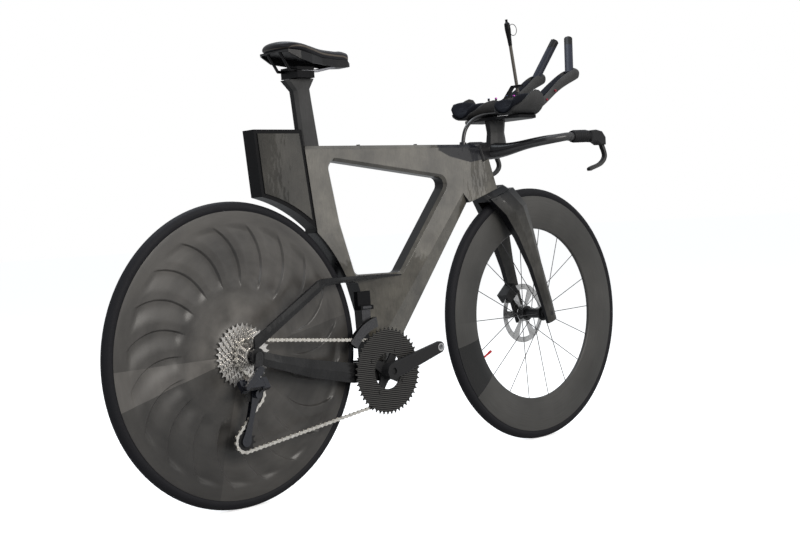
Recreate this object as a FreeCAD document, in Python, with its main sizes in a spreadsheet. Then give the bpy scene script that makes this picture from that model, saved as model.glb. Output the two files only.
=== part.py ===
"""Time trial bicycle with a rear disc wheel, a deep front rim, a base bar and forearm extensions.

The frame of the model: +X forward, +Y to the rider's left, +Z up, with the origin on the floor
midway between the axles. Lengths are in millimetres, angles in degrees. The drive side is at -Y.
"""
import FreeCAD, Part
import math
import os
import Sketcher

V = FreeCAD.Vector
ACROSS = V(0, 1, 0)
UP = V(0, 0, 1)
AHEAD = V(1, 0, 0)
RIGHT = -1
LEFT = 1

doc = FreeCAD.newDocument("time_trial_bike")
sheet = doc.addObject("Spreadsheet::Sheet", "Sizes")

SIZES = [
    # The whole bicycle
    ("wheelbase", 996.4),
    ("wheel_radius", 338),
    ("head_tilt", 18),
    ("fork_rake", 45),
    ("head_bottom", 368),
    ("head_top", 450),
    ("top_tube_height", 795),
    ("bracket_ahead", 401),
    ("bracket_drop", 82),
    ("rear_width", 142),
    ("front_width", 100),
    # Clearances
    ("seat_gap", 0.2),
    ("running_gap", 0.4),
    ("overrun", 20),
    # Tyres and the front rim
    ("tyre_width", 26),
    ("tyre_wall", 3),
    ("rim_drop", 21),
    ("rim_depth", 88),
    ("rim_width", 28),
    ("rim_edge_width", 23),
    ("rim_nose_width", 12),
    ("rim_nose_rise", 4),
    ("rim_wall", 2),
    ("valve_radius", 2.6),
    ("valve_length", 26),
    ("valve_cap_radius", 3.4),
    ("valve_cap_length", 9),
    ("valve_angle", 205),
    # Front hub and spokes
    ("axle_radius", 6),
    ("axle_head_radius", 9.5),
    ("axle_head_length", 3),
    ("hub_radius", 13),
    ("hub_end_radius", 10),
    ("hub_end_length", 9),
    ("flange_radius", 20),
    ("flange_thickness", 3),
    ("front_flange_left", 24),
    ("front_flange_right", 32),
    ("spoke_radius", 1),
    ("spoke_lean", 62),
    ("spoke_lift", 1.4),
    ("spoke_step", 20),
    # Brake rotors and calipers
    ("rotor_thickness", 1.8),
    ("front_rotor_radius", 80),
    ("rear_rotor_radius", 70),
    ("rotor_track", 15),
    ("rotor_carrier_radius", 23),
    ("rotor_arm_angle", 20),
    ("front_rotor_offset", 39.5),
    ("rear_rotor_offset", 55),
    ("caliper_length", 46),
    ("caliper_lip", 4),
    ("caliper_bridge", 10),
    ("caliper_slot", 4),
    ("caliper_inset", 9),
    # Rear disc wheel
    ("disc_wall", 3.5),
    ("disc_right_bulge", 20.5),
    ("disc_right_hub_radius", 58),
    ("disc_right_knee", 16.2),
    ("disc_right_knee_radius", 77),
    ("disc_left_bulge", 30),
    ("disc_left_hub_radius", 40),
    ("disc_left_knee", 24),
    ("disc_left_knee_radius", 110),
    ("disc_edge_width", 24),
    ("disc_rim_depth", 24),
    ("flute_inner_radius", 150),
    ("flute_outer_radius", 291),
    ("flute_lip", 5),
    ("flute_depth", 2.2),
    ("flute_sweep", 15),
    ("flute_opening", 8),
    ("flute_step", 18),
    ("flute_first_angle", 12),
    # Chain, rings and cassette
    ("chain_pitch", 12.7),
    ("chain_line", 44.5),
    ("roller_radius", 3.85),
    ("tooth_gap", 0.2),
    ("tooth_height", 3),
    ("tooth_tip", 1.1),
    ("inner_plate_inside", 1.1),
    ("inner_plate_outside", 1.75),
    ("outer_plate_inside", 1.9),
    ("outer_plate_outside", 2.6),
    ("plate_radius", 4.1),
    ("plate_waist", 2.6),
    ("pin_radius", 1.6),
    ("pin_gap", 0.2),
    ("ring_thickness", 1.8),
    ("ring_step", 7),
    ("outer_ring_bore", 43),
    ("inner_ring_bore", 47),
    ("ring_bolt_circle", 55),
    ("ring_bolt_radius", 4),
    ("ring_bolt_head_radius", 5.5),
    ("ring_bolt_head", 1.6),
    ("cog_step", 3.55),
    ("cog_thickness", 1.5),
    ("freehub_radius", 17.2),
    ("freehub_rim", 19.5),
    ("lock_ring_radius", 21),
    ("lock_ring_thickness", 2.5),
    # Cranks and bottom bracket
    ("shell_radius", 25),
    ("shell_width", 86),
    ("cup_radius", 21),
    ("cup_depth", 14),
    ("cup_lip", 2),
    ("spindle_radius", 12),
    ("crank_length", 165),
    ("crank_angle", 14),
    ("crank_outside", 74),
    ("crank_thickness", 15),
    ("crank_hub_radius", 20),
    ("crank_eye_radius", 14),
    ("crank_bevel", 3),
    ("pedal_thread_radius", 7.14),
    ("spider_reach", 62),
    ("spider_root_width", 30),
    ("spider_tip_width", 15),
    ("spider_first_angle", 59),
    ("crank_bolt_radius", 8),
    ("crank_bolt_depth", 4),
    # Main frame
    ("frame_width", 44),
    ("frame_bevel", 8),
    ("down_tube_bevel_top", 34),
    ("down_tube_bevel_foot", 66),
    ("down_tube_bevel_depth", 12),
    ("hole_bevel", 7),
    ("hole_radius", 18),
    ("head_front", 23),
    ("head_back", 26),
    ("tyre_gap", 10),
    ("steerer_radius", 14),
    ("bearing_radius", 19),
    ("bearing_height", 8),
    ("stem_radius", 22),
    ("stem_gap", 1),
    ("stem_pocket_gap", 2.2),
    ("screw_radius", 4.5),
    ("screw_height", 3),
    ("screw_depth", 10),
    ("screw_stem_radius", 2.5),
    # Stays
    ("dropout_radius", 18),
    ("dropout_thickness", 7),
    ("hanger_thickness", 5),
    ("hanger_width", 20),
    ("hanger_drop", 29),
    ("hanger_bolt_radius", 5),
    # Storage box
    ("box_top", 832),
    ("box_back", 427),
    ("box_back_low", 407),
    ("box_front_gap", 4),
    ("box_panel", 2),
    ("box_panel_inset", 9),
    ("box_tyre_gap", 16),
    # Seatpost and saddle
    ("post_tilt", 6.6),
    ("post_setback", 256),
    ("post_chord", 56),
    ("post_thickness", 26),
    ("post_depth", 150),
    ("post_rise", 108),
    ("post_neck_chord", 51),
    ("post_top", 950),
    ("post_head_chord", 92),
    ("post_head_thickness", 30),
    ("clamp_length", 50),
    ("clamp_width", 60),
    ("clamp_height", 17),
    ("clamp_lid", 7),
    ("clamp_lid_gap", 2),
    ("clamp_bolt_radius", 2.5),
    ("clamp_bolt_head_radius", 4.5),
    ("clamp_bolt_head", 4),
    ("clamp_bolt_spread", 17),
    ("rail_radius", 3.5),
    ("rail_spread", 22),
    ("rail_length", 80),
    ("saddle_tail", 352),
    ("saddle_nose", 124),
    ("saddle_half_width", 66),
    ("saddle_tail_height", 1032),
    ("saddle_nose_height", 1018),
    ("saddle_padding", 22),
    ("saddle_shell_thickness", 4),
    ("saddle_skirt", 24),
    ("saddle_groove_radius", 13),
    ("saddle_groove_depth", 8),
    # Fork
    ("crown_height", 21),
    ("crown_back", 40),
    ("crown_front", 48),
    ("leg_outside", 63),
    ("leg_tip_drop", 22),
    # Base bar and brake levers
    ("bar_half_width", 184),
    ("bar_height", 800),
    ("bar_bend_ahead", 466),
    ("bar_end_radius", 11),
    ("bar_end_length", 112),
    ("bar_end_flare", 4),
    ("bar_end_rise", 2),
    ("bar_root_ahead", 362),
    ("bar_root_height", 778),
    ("stem_nose", 424),
    ("stem_underside", 762),
    ("grip_radius", 15),
    ("grip_length", 62),
    ("grip_rib_radius", 16.5),
    ("grip_rib_width", 4),
    ("grip_rib_step", 8.5),
    ("hood_length", 58),
    ("hood_height", 38),
    ("hood_width", 28),
    ("hood_drop", 24),
    ("lever_width", 11),
    ("lever_pin_radius", 2.5),
    ("lever_eye_radius", 7),
    ("lever_reach", 56),
    ("lever_drop", 70),
    ("lever_thickness", 9),
    # Arm rests and extensions
    ("column_back", 356),
    ("column_length", 62),
    ("column_width", 36),
    ("bridge_height", 857),
    ("bridge_thickness", 8),
    ("bridge_back", 346),
    ("bridge_length", 112),
    ("bridge_half_width", 96),
    ("cup_spread", 76),
    ("arm_cup_radius", 42),
    ("arm_cup_wall", 4),
    ("arm_cup_back", 338),
    ("arm_cup_length", 112),
    ("arm_cup_inner_angle", 96),
    ("arm_cup_outer_angle", 112),
    ("arm_pad_thickness", 13),
    ("arm_pad_length", 116),
    ("arm_pad_crown", 5),
    ("extension_tip_ahead", 662),
    ("extension_tip_height", 982),
    ("extension_tip_spread", 60),
    ("extension_width", 40),
    ("extension_height", 36),
    ("post_grip_radius", 11.5),
    ("post_grip_top_ahead", 681),
    ("post_grip_top_height", 1084),
    ("post_grip_top_spread", 24),
    ("button_radius", 8),
    ("button_height", 6),
    ("button_proud", 3),
    ("button_travel", 1.5),
    ("cockpit_bolt_radius", 3),
    ("cockpit_bolt_head", 3.5),
    # Drinking system
    ("hose_radius", 5),
    ("hose_ahead", 261),
    ("hose_boss_radius", 9),
    ("hose_boss_height", 6),
    ("straw_radius", 4.5),
    ("straw_foot_ahead", 485),
    ("straw_foot_height", 936),
    ("straw_top_ahead", 466),
    ("straw_top_height", 1059),
    ("valve_body_radius", 8),
    ("valve_body_length", 70),
    ("wire_radius", 0.9),
    ("wire_loop_radius", 15),
    ("holder_thickness", 6),
    ("holder_depth", 14),
    ("holder_shoulder", 16),
    # Front derailleur
    ("shifter_height", 428),
    ("shifter_back", 165),
    ("shifter_length", 40),
    ("shifter_tall", 44),
    ("shifter_depth", 13),
    ("shifter_pin_radius", 2.5),
    ("shifter_barrel_radius", 5),
    ("shifter_lug", 6),
    ("shifter_plate", 1.2),
    ("shifter_cage_inner", 110),
    ("shifter_cage_outer", 134),
    ("shifter_cage_start", 101),
    ("shifter_cage_end", 145),
    ("cage_side", 4.5),
    # Rear derailleur
    ("pulley_teeth_count", 12),
    ("pulley_thickness", 1.8),
    ("pulley_bore", 3.2),
    ("guide_ahead", 10),
    ("guide_drop", 85),
    ("cage_reach", 104),
    ("cage_plate", 1.4),
    ("cage_end_radius", 12),
    ("cage_pin_radius", 3),
    ("slant", 35),
    ("link_length", 46),
    ("link_back", 32),
    ("link_drop", 62),
    ("link_side", 68),
    ("link_thickness", 12),
    ("link_tall", 18),
    ("link_ear", 4),
    ("link_wall", 7),
    ("knuckle_arm_radius", 5),
    ("link_pin_radius", 3),
    ("knuckle_radius", 9),
]


class Size:
    """A number from the sheet, or worked out from such numbers, with the formula that gives it."""

    def __init__(self, value, formula):
        self.value = float(value)
        self.formula = formula

    def __float__(self):
        return self.value

    def __add__(self, other):
        return Size(self.value + float(other), joined(self, "+", other))

    def __radd__(self, other):
        return Size(float(other) + self.value, joined(other, "+", self))

    def __sub__(self, other):
        return Size(self.value - float(other), joined(self, "-", other))

    def __rsub__(self, other):
        return Size(float(other) - self.value, joined(other, "-", self))

    def __mul__(self, other):
        return Size(self.value * float(other), joined(self, "*", other))

    def __rmul__(self, other):
        return Size(float(other) * self.value, joined(other, "*", self))

    def __truediv__(self, other):
        return Size(self.value / float(other), joined(self, "/", other))

    def __neg__(self):
        return Size(-self.value, "(-1 * " + self.formula + ")")


def formula_of(number):
    return number.formula if isinstance(number, Size) else repr(float(number))


def joined(first, sign, second):
    return "(" + formula_of(first) + " " + sign + " " + formula_of(second) + ")"


class SheetSizes:
    """Reads a size from the sheet by its alias."""

    def __getattr__(self, alias):
        return Size(sheet.get(alias), "Sizes." + alias)


for row, (alias, value) in enumerate(SIZES, start=1):
    sheet.set("A%d" % row, alias)
    sheet.set("B%d" % row, str(value))
    sheet.setAlias("B%d" % row, alias)
doc.recompute()
size = SheetSizes()
pieces = []


# Helpers for points and document objects


def at(x, y, z):
    return V(float(x), float(y), float(z))


def radians(angle):
    return math.radians(float(angle))


def sine(angle):
    return Size(math.sin(radians(angle)), "sin(" + angle.formula + " * 1 deg)")


def cosine(angle):
    return Size(math.cos(radians(angle)), "cos(" + angle.formula + " * 1 deg)")


def around(centre, radius, angle, y=0):
    """A point at a radius and an angle, in degrees up from straight ahead, in a plane across Y."""
    return at(centre.x + float(radius) * math.cos(math.radians(angle)), y,
              centre.z + float(radius) * math.sin(math.radians(angle)))


def bind(item, **sizes):
    for name, number in sizes.items():
        item.setExpression(name, formula_of(number))


def piece(label, item):
    item.Label = label
    pieces.append(item)
    return item


def placed(item, start, direction=UP):
    item.Placement = FreeCAD.Placement(start, FreeCAD.Rotation(UP, direction))
    return item


def cylinder(radius, length, start, direction=ACROSS):
    item = doc.addObject("Part::Cylinder", "cylinder")
    bind(item, Radius=radius, Height=length)
    return placed(item, start, direction)


def bar(first, last, radius):
    """A round bar between two points."""
    item = doc.addObject("Part::Cylinder", "bar")
    bind(item, Radius=radius)
    item.Height = (last - first).Length
    return placed(item, first, last - first)


def box(length, width, height, corner):
    item = doc.addObject("Part::Box", "block")
    bind(item, Length=length, Width=width, Height=height)
    return placed(item, corner)


def torus(radius, thickness, centre):
    item = doc.addObject("Part::Torus", "ring")
    bind(item, Radius1=radius, Radius2=thickness)
    return placed(item, centre, ACROSS)


def joined_solid(items):
    item = doc.addObject("Part::MultiFuse", "fused")
    item.Shapes = items
    item.Refine = True
    return item


def cut(base, *tools):
    item = doc.addObject("Part::Cut", "cut")
    item.Base = base
    item.Tool = tools[0] if len(tools) == 1 else group(list(tools))
    return item


def group(items):
    item = doc.addObject("Part::Compound", "group")
    item.Links = items
    return item


def mirrored(source):
    """The same piece on the other side of the bicycle."""
    item = doc.addObject("Part::Mirroring", "mirrored")
    item.Source = source
    item.Normal = ACROSS
    return item


def solid(shape):
    item = doc.addObject("Part::Feature", "solid")
    item.Shape = shape
    return item


def tube(outer, inner, length, start, direction=ACROSS):
    core = cylinder(inner, length + size.overrun * 2, start - direction * float(size.overrun), direction)
    return cut(cylinder(outer, length, start, direction), core)


def sketch_on(body, role):
    sketch = body.newObject("Sketcher::SketchObject", "outline")
    plane = [item for item in body.Origin.OriginFeatures if item.Role == role][0]
    sketch.AttachmentSupport = [(plane, "")]
    sketch.MapMode = "FlatFace"
    return sketch


def draw(sketch, corners):
    """Adds a closed outline whose corners are held by the sheet."""
    first = sketch.GeometryCount
    count = len(corners)
    for number in range(count):
        start = corners[number]
        end = corners[(number + 1) % count]
        sketch.addGeometry(Part.LineSegment(at(*start, 0), at(*end, 0)))
    for number in range(count):
        after = (number + 1) % count
        sketch.addConstraint(Sketcher.Constraint("Coincident", first + number, 2, first + after, 1))
    for number, corner in enumerate(corners):
        for kind, distance in zip(("DistanceX", "DistanceY"), corner):
            rule = Sketcher.Constraint(kind, -1, 1, first + number, 1, float(distance))
            place = sketch.addConstraint(rule)
            sketch.setExpression("Constraints[%d]" % place, formula_of(distance))


def turned(corners, centre, axis=ACROSS):
    """A body of revolution: corners are (radius, place along the axis)."""
    body = doc.addObject("PartDesign::Body", "turned")
    sketch = sketch_on(body, "XY_Plane")
    draw(sketch, corners)
    turn = body.newObject("PartDesign::Revolution", "turn")
    turn.Profile = sketch
    turn.ReferenceAxis = (sketch, ["V_Axis"])
    turn.Angle = 360
    body.Placement = FreeCAD.Placement(centre, FreeCAD.Rotation(ACROSS, axis))
    return body


def loop(points):
    return Part.makePolygon(points + points[:1])


def curve(points):
    line = Part.BSplineCurve()
    line.interpolate(points, PeriodicFlag=True)
    return Part.Wire(line.toShape())


def path_of(corners):
    """Straight and round edges through corners: an entry of three points is an arc."""
    edges = []
    for corner in corners:
        if len(corner) == 2:
            edges.append(Part.LineSegment(*corner).toShape())
        else:
            edges.append(Part.Arc(*corner).toShape())
    return Part.Wire(edges)


def plate(wire, y, thickness, holes=()):
    """A flat plate cut along a wire in a plane across Y, thickened towards +Y."""
    outline = wire.copy()
    outline.translate(at(0, y, 0))
    shape = Part.Face(outline).extrude(at(0, thickness, 0))
    for hole in holes:
        shape = shape.cut(hole)
    return shape


def drill(radius, centre, y, length):
    return Part.makeCylinder(float(radius), float(length), at(centre.x, y, centre.z), ACROSS)


# Main points of the bicycle

rear_axle = at(-size.wheelbase / 2, 0, size.wheel_radius)
front_axle = at(size.wheelbase / 2, 0, size.wheel_radius)
bracket_x = size.bracket_ahead - size.wheelbase / 2
bracket_z = size.wheel_radius - size.bracket_drop
bracket = at(bracket_x, 0, bracket_z)
axle_gap = size.seat_gap
rim_radius = size.wheel_radius - size.rim_drop

steer_sine = sine(size.head_tilt)
steer_cosine = cosine(size.head_tilt)
steer_foot_x = size.wheelbase / 2 - size.fork_rake * steer_cosine
steer_foot_z = size.wheel_radius - size.fork_rake * steer_sine
steer_axis = at(-steer_sine, 0, steer_cosine)
steer_ahead = at(steer_cosine, 0, steer_sine)


def steer_place(along, out):
    """Side-view place (x, z) at a distance up the steering axis and out in front of it."""
    return (steer_foot_x - along * steer_sine + out * steer_cosine,
            steer_foot_z + along * steer_cosine + out * steer_sine)


def steer_point(along, out, across=0):
    x, z = steer_place(along, out)
    return at(x, across, z)


def steer_x(z):
    """Where the steering axis crosses a height."""
    return steer_foot_x - (z - steer_foot_z) * steer_sine / steer_cosine


def side_place(x_share, z_share):
    """Side-view place as shares of the wheelbase and of the top tube's height."""
    return (size.wheelbase * x_share, size.top_tube_height * z_share)


def side_point(x_share, z_share, y=0):
    x, z = side_place(x_share, z_share)
    return at(x, y, z)


# Tyres, front rim, spokes and front hub


def make_tyre(label, axle):
    middle = size.wheel_radius - size.tyre_width / 2
    outside = torus(middle, size.tyre_width / 2, axle)
    air = torus(middle, size.tyre_width / 2 - size.tyre_wall, axle)
    bed_width = size.tyre_width + size.overrun * 2
    bed = cylinder(rim_radius + size.seat_gap, bed_width, axle - ACROSS * float(bed_width / 2))
    piece(label, cut(cut(outside, air), bed))


make_tyre("front_tyre", front_axle)
make_tyre("rear_tyre", rear_axle)

rim_inner_radius = rim_radius - size.rim_depth
rim_widest_share = 0.42


def rim_outline(inset):
    """Cross-section of the front rim, drawn in by an inset, as a wire in the XY plane."""
    edge = float(size.rim_edge_width / 2) - inset
    wide = float(size.rim_width / 2) - inset
    nose = float(size.rim_nose_width / 2) - inset
    top = float(rim_radius) - inset
    shoulder = float(rim_inner_radius + size.rim_nose_rise)
    tip = float(rim_inner_radius) + inset
    middle = float(rim_radius - size.rim_depth * rim_widest_share)
    corners = [
        (V(top, -edge, 0), V(top, edge, 0)),
        (V(top, edge, 0), V(middle, wide, 0), V(shoulder, nose, 0)),
        (V(shoulder, nose, 0), V(tip, 0, 0), V(shoulder, -nose, 0)),
        (V(shoulder, -nose, 0), V(middle, -wide, 0), V(top, -edge, 0)),
    ]
    return path_of(corners)


def make_front_rim():
    shell = Part.Face(rim_outline(0)).revolve(V(0, 0, 0), ACROSS, 360)
    hollow = Part.Face(rim_outline(float(size.rim_wall))).revolve(V(0, 0, 0), ACROSS, 360)
    shape = shell.cut(hollow)
    shape.translate(front_axle)
    angle = float(size.valve_angle)
    start = around(front_axle, rim_inner_radius - size.overrun, angle)
    outward = start - front_axle
    hole_length = float(size.overrun + size.rim_nose_rise + size.rim_wall)
    hole = Part.makeCylinder(float(size.valve_radius + size.seat_gap), hole_length, start, outward)
    piece("front_rim", solid(shape.cut(hole)))
    foot = around(front_axle, rim_inner_radius + size.rim_nose_rise, angle)
    shoulder = around(front_axle, rim_inner_radius + size.rim_nose_rise - size.valve_length, angle)
    stem = bar(shoulder, foot, size.valve_radius)
    cap = cylinder(size.valve_cap_radius, size.valve_cap_length, shoulder, front_axle - shoulder)
    piece("front_valve", joined_solid([stem, cap]))


make_front_rim()


def flange_corners(place):
    """The four corners that a flange adds to a hub's outline, going towards +Y."""
    half = size.flange_thickness / 2
    return [
        (size.hub_radius, place - half),
        (size.flange_radius, place - half),
        (size.flange_radius, place + half),
        (size.hub_radius, place + half),
    ]


def make_front_hub():
    bore = size.axle_radius + axle_gap
    end = size.front_width / 2 - size.seat_gap
    step = end - size.hub_end_length
    corners = [(bore, -end), (size.hub_end_radius, -end), (size.hub_end_radius, -step),
               (size.hub_radius, -step)]
    corners += flange_corners(-size.front_flange_right)
    corners += flange_corners(size.front_flange_left)
    corners += [(size.hub_radius, step), (size.hub_end_radius, step), (size.hub_end_radius, end), (bore, end)]
    piece("front_hub", turned(corners, front_axle))


make_front_hub()


def make_spokes():
    """Groups of three: a radial spoke on the right and a crossed pair on the left."""
    spokes = []
    rim_end = rim_inner_radius - size.running_gap
    start_radius = size.flange_radius + size.spoke_lift
    step = float(size.spoke_step)
    lean = float(size.spoke_lean)
    lift = float(size.flange_thickness / 2 + size.spoke_radius)
    group_angle = 3 * step
    for number in range(round(360 / group_angle)):
        base = number * group_angle
        flange = -size.front_flange_right
        spokes.append(bar(around(front_axle, start_radius, base, flange), around(front_axle, rim_end, base),
                          size.spoke_radius))
        for way in (LEFT, RIGHT):
            rim_angle = base + way * step
            y = size.front_flange_left + way * lift
            start = around(front_axle, start_radius, rim_angle - way * lean, y)
            end = around(front_axle, rim_end, rim_angle)
            spokes.append(bar(start, end, size.spoke_radius))
    piece("front_spokes", group(spokes))


make_spokes()


def make_thru_axle(label, axle, reach):
    """A plain rod between the outer faces, with a flat head on the left."""
    length = reach * 2 + size.overrun
    rod = cylinder(size.axle_radius, length - size.overrun, axle - ACROSS * float(reach))
    head = cylinder(size.axle_head_radius, size.axle_head_length, axle + ACROSS * float(reach))
    piece(label, joined_solid([rod, head]))


# Brake rotors


def sector(centre, inner, outer, start, end):
    """A face between two radii and two angles in the plane across Y through the centre."""
    middle = (start + end) / 2
    corners = [
        (around(centre, inner, start), around(centre, outer, start)),
        (around(centre, outer, start), around(centre, outer, middle), around(centre, outer, end)),
        (around(centre, outer, end), around(centre, inner, end)),
        (around(centre, inner, end), around(centre, inner, middle), around(centre, inner, start)),
    ]
    return path_of(corners)


def make_rotor(label, axle, radius, offset):
    thickness = size.rotor_thickness
    y = offset - thickness / 2
    blank = drill(radius, axle, y, thickness)
    blank = blank.cut(drill(size.hub_radius + size.seat_gap, axle, y, thickness))
    arm = float(size.rotor_arm_angle)
    arms = 6
    for number in range(arms):
        start = number * 360 / arms + arm / 2
        end = (number + 1) * 360 / arms - arm / 2
        window = sector(axle, size.rotor_carrier_radius, radius - size.rotor_track, start, end)
        blank = blank.cut(plate(window, y, thickness))
    piece(label, solid(blank))


make_rotor("front_rotor", front_axle, size.front_rotor_radius, size.front_rotor_offset)
make_rotor("rear_rotor", rear_axle, size.rear_rotor_radius, size.rear_rotor_offset)

# Rear hub and the disc wheel's two shells


def make_rear_hub():
    bore = size.axle_radius + axle_gap
    right = -size.disc_right_bulge + size.disc_wall
    left = size.rear_width / 2 - size.seat_gap
    step = left - size.hub_end_length
    corners = [(bore, right), (size.hub_radius, right), (size.hub_radius, step), (size.hub_end_radius, step),
               (size.hub_end_radius, left), (bore, left)]
    piece("rear_hub", turned(corners, rear_axle))


make_rear_hub()


def disc_profile(bulge, hub_radius, knee, knee_radius, lift):
    """Outer line of one side of the disc as (radius, height) points, raised or sunk by a lift."""
    edge_height = float(size.disc_edge_width / 2)
    heights = [
        (float(size.hub_radius + size.seat_gap), float(bulge)),
        (float(hub_radius), float(bulge)),
        (float(knee_radius), float(knee)),
        (float(rim_radius), edge_height),
    ]
    return [(radius, height + lift) for radius, height in heights]


def disc_shell(side, bulge, hub_radius, knee, knee_radius):
    wall = float(size.disc_wall)
    outer = disc_profile(bulge, hub_radius, knee, knee_radius, 0)
    inner = disc_profile(bulge, hub_radius, knee, knee_radius, -wall)
    rim_inside = float(rim_radius - size.disc_rim_depth)
    knee_at, knee_high = inner[2]
    edge_at, edge_high = inner[3]
    slope = (edge_high - knee_high) / (edge_at - knee_at)
    inside_high = knee_high + slope * (rim_inside - knee_at)
    corners = outer + [(float(rim_radius), 0), (rim_inside, 0), (rim_inside, inside_high)] + inner[2::-1]
    outline = loop([V(radius, side * height, 0) for radius, height in corners])
    shell = Part.Face(outline).revolve(V(0, 0, 0), ACROSS, 360)
    sunk = disc_profile(bulge, hub_radius, knee, knee_radius, -float(size.flute_depth))
    over = disc_profile(bulge, hub_radius, knee, knee_radius, float(size.overrun))
    skin = loop([V(radius, side * height, 0) for radius, height in sunk + over[::-1]])
    layer = Part.Face(skin).revolve(V(0, 0, 0), ACROSS, 360)
    shell = shell.cut(flutes(side).common(layer))
    shell.translate(rear_axle)
    return solid(shell)


def flutes(side):
    """Curved scoops with one steep edge and a hooked outer end, as upright prisms round the hub."""
    hub = V(0, 0, 0)
    inner = float(size.flute_inner_radius)
    outer = float(size.flute_outer_radius)
    first = float(size.flute_first_angle)
    sweep = float(size.flute_sweep)
    opening = float(size.flute_opening)
    middle_share = 0.6
    edge_turn_share = 0.33
    hook_share = 0.5
    back_turn_share = 0.8
    middle = inner + (outer - inner) * middle_share
    lip = outer - float(size.flute_lip)
    start = around(hub, inner, first)
    edge_middle = around(hub, middle, first + sweep * edge_turn_share)
    edge_end = around(hub, lip, first + sweep)
    hook = around(hub, outer, first + sweep + opening * hook_share)
    back_end = around(hub, lip, first + sweep + opening)
    back_middle = around(hub, middle, first + sweep * edge_turn_share + opening * back_turn_share)
    wire = path_of([(start, edge_middle, edge_end), (edge_end, hook, back_end),
                    (back_end, back_middle, start)])
    height = size.disc_left_bulge + size.overrun
    prism = plate(wire, 0, height * side)
    prisms = []
    step = float(size.flute_step)
    for number in range(round(360 / step)):
        copy = prism.copy()
        copy.rotate(hub, ACROSS, number * step)
        prisms.append(copy)
    return Part.makeCompound(prisms)


right_shell = disc_shell(RIGHT, size.disc_right_bulge, size.disc_right_hub_radius,
                         size.disc_right_knee, size.disc_right_knee_radius)
left_shell = disc_shell(LEFT, size.disc_left_bulge, size.disc_left_hub_radius,
                        size.disc_left_knee, size.disc_left_knee_radius)
piece("rear_disc", group([right_shell, left_shell]))

# Chain, sprockets and their meshing

cog_teeth = [11, 12, 13, 14, 15, 17, 19, 21, 24, 27, 30, 34]
driven_cog = 5
inner_ring_teeth = 36
outer_ring_teeth = 50
pulley_teeth = round(float(size.pulley_teeth_count))


def pitch_radius(teeth):
    return float(size.chain_pitch) / 2 / math.sin(math.pi / teeth)


def sprocket_wire(centre, teeth, gap_angle):
    """A toothed outline with the middle of one tooth gap at an angle in radians."""
    pitch = pitch_radius(teeth)
    seat = float(size.roller_radius + size.tooth_gap)
    tip_radius = pitch + float(size.tooth_height)
    half_step = math.pi / teeth
    tip_half = float(size.tooth_tip) / 2 / tip_radius
    seat_turn_share = 0.36
    edges = []
    for number in range(teeth):
        angle = gap_angle + 2 * half_step * number
        middle = V(centre.x + pitch * math.cos(angle), 0, centre.z + pitch * math.sin(angle))
        low = middle + seat * V(math.cos(angle + math.pi), 0, math.sin(angle + math.pi))
        turn = math.pi * seat_turn_share
        first = middle + seat * V(math.cos(angle + math.pi + turn), 0, math.sin(angle + math.pi + turn))
        last = middle + seat * V(math.cos(angle + math.pi - turn), 0, math.sin(angle + math.pi - turn))
        edges.append((first, low, last))
        tip_angle = angle + half_step
        near = tip_angle - tip_half
        far = tip_angle + tip_half
        tip_near = V(centre.x + tip_radius * math.cos(near), 0, centre.z + tip_radius * math.sin(near))
        tip_far = V(centre.x + tip_radius * math.cos(far), 0, centre.z + tip_radius * math.sin(far))
        after = angle + 2 * half_step
        next_middle = V(centre.x + pitch * math.cos(after), 0, centre.z + pitch * math.sin(after))
        next_turn = after + math.pi + turn
        next_first = next_middle + seat * V(math.cos(next_turn), 0, math.sin(next_turn))
        edges += [(last, tip_near), (tip_near, tip_far), (tip_far, next_first)]
    return path_of(edges)


guide_axle = at(-size.wheelbase / 2 + size.guide_ahead, 0, size.wheel_radius - size.guide_drop)


def tangent_angle(first, last, first_radius, last_radius):
    """Angle at which both circles are left by a line from first to last, for signed radii."""
    gap = last - first
    return math.atan2(gap.z, gap.x) + math.acos((first_radius - last_radius) / gap.Length)


def spot(centre, radius, angle):
    return V(centre.x + radius * math.cos(angle), 0, centre.z + radius * math.sin(angle))


def chain_stretches(cage_angle):
    """The chain's closed path as arcs and straight runs, for one angle of the derailleur's cage."""
    tension_axle = around(guide_axle, size.cage_reach, cage_angle)
    cog = pitch_radius(cog_teeth[driven_cog])
    ring = pitch_radius(inner_ring_teeth)
    pulley = pitch_radius(pulley_teeth)
    top = tangent_angle(rear_axle, bracket, cog, ring)
    low_gap = bracket - tension_axle
    low = math.atan2(low_gap.z, low_gap.x) - math.acos((pulley - ring) / low_gap.Length)
    cross_gap = guide_axle - tension_axle
    cross = math.atan2(cross_gap.z, cross_gap.x) + math.acos(2 * pulley / cross_gap.Length)
    rise_gap = rear_axle - guide_axle
    rise = math.atan2(rise_gap.z, rise_gap.x) - math.acos((pulley + cog) / rise_gap.Length)
    full = 2 * math.pi
    stretches = [
        (rear_axle, cog, cog_teeth[driven_cog], rise + math.pi, top, -1),
        (bracket, ring, inner_ring_teeth, top, low, -1),
        (tension_axle, pulley, pulley_teeth, low, cross, -1),
        (guide_axle, pulley, pulley_teeth, cross + math.pi, rise, 1),
    ]
    result = []
    for centre, radius, teeth, start, end, way in stretches:
        turn = (way * (end - start)) % full
        result.append((centre, radius, teeth, start, turn, way))
    return result


def chain_count(stretches):
    """Length of the path in links: teeth passed on the arcs, pitches on the straight runs."""
    total = 0
    for number, (centre, radius, teeth, start, turn, way) in enumerate(stretches):
        total += turn / (2 * math.pi / teeth)
        after = stretches[(number + 1) % len(stretches)]
        leave = spot(centre, radius, start + way * turn)
        meet = spot(after[0], after[1], after[3])
        total += (meet - leave).Length / float(size.chain_pitch)
    return total


cage_first_angle = 249
cage_angle_step = 0.05


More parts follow.
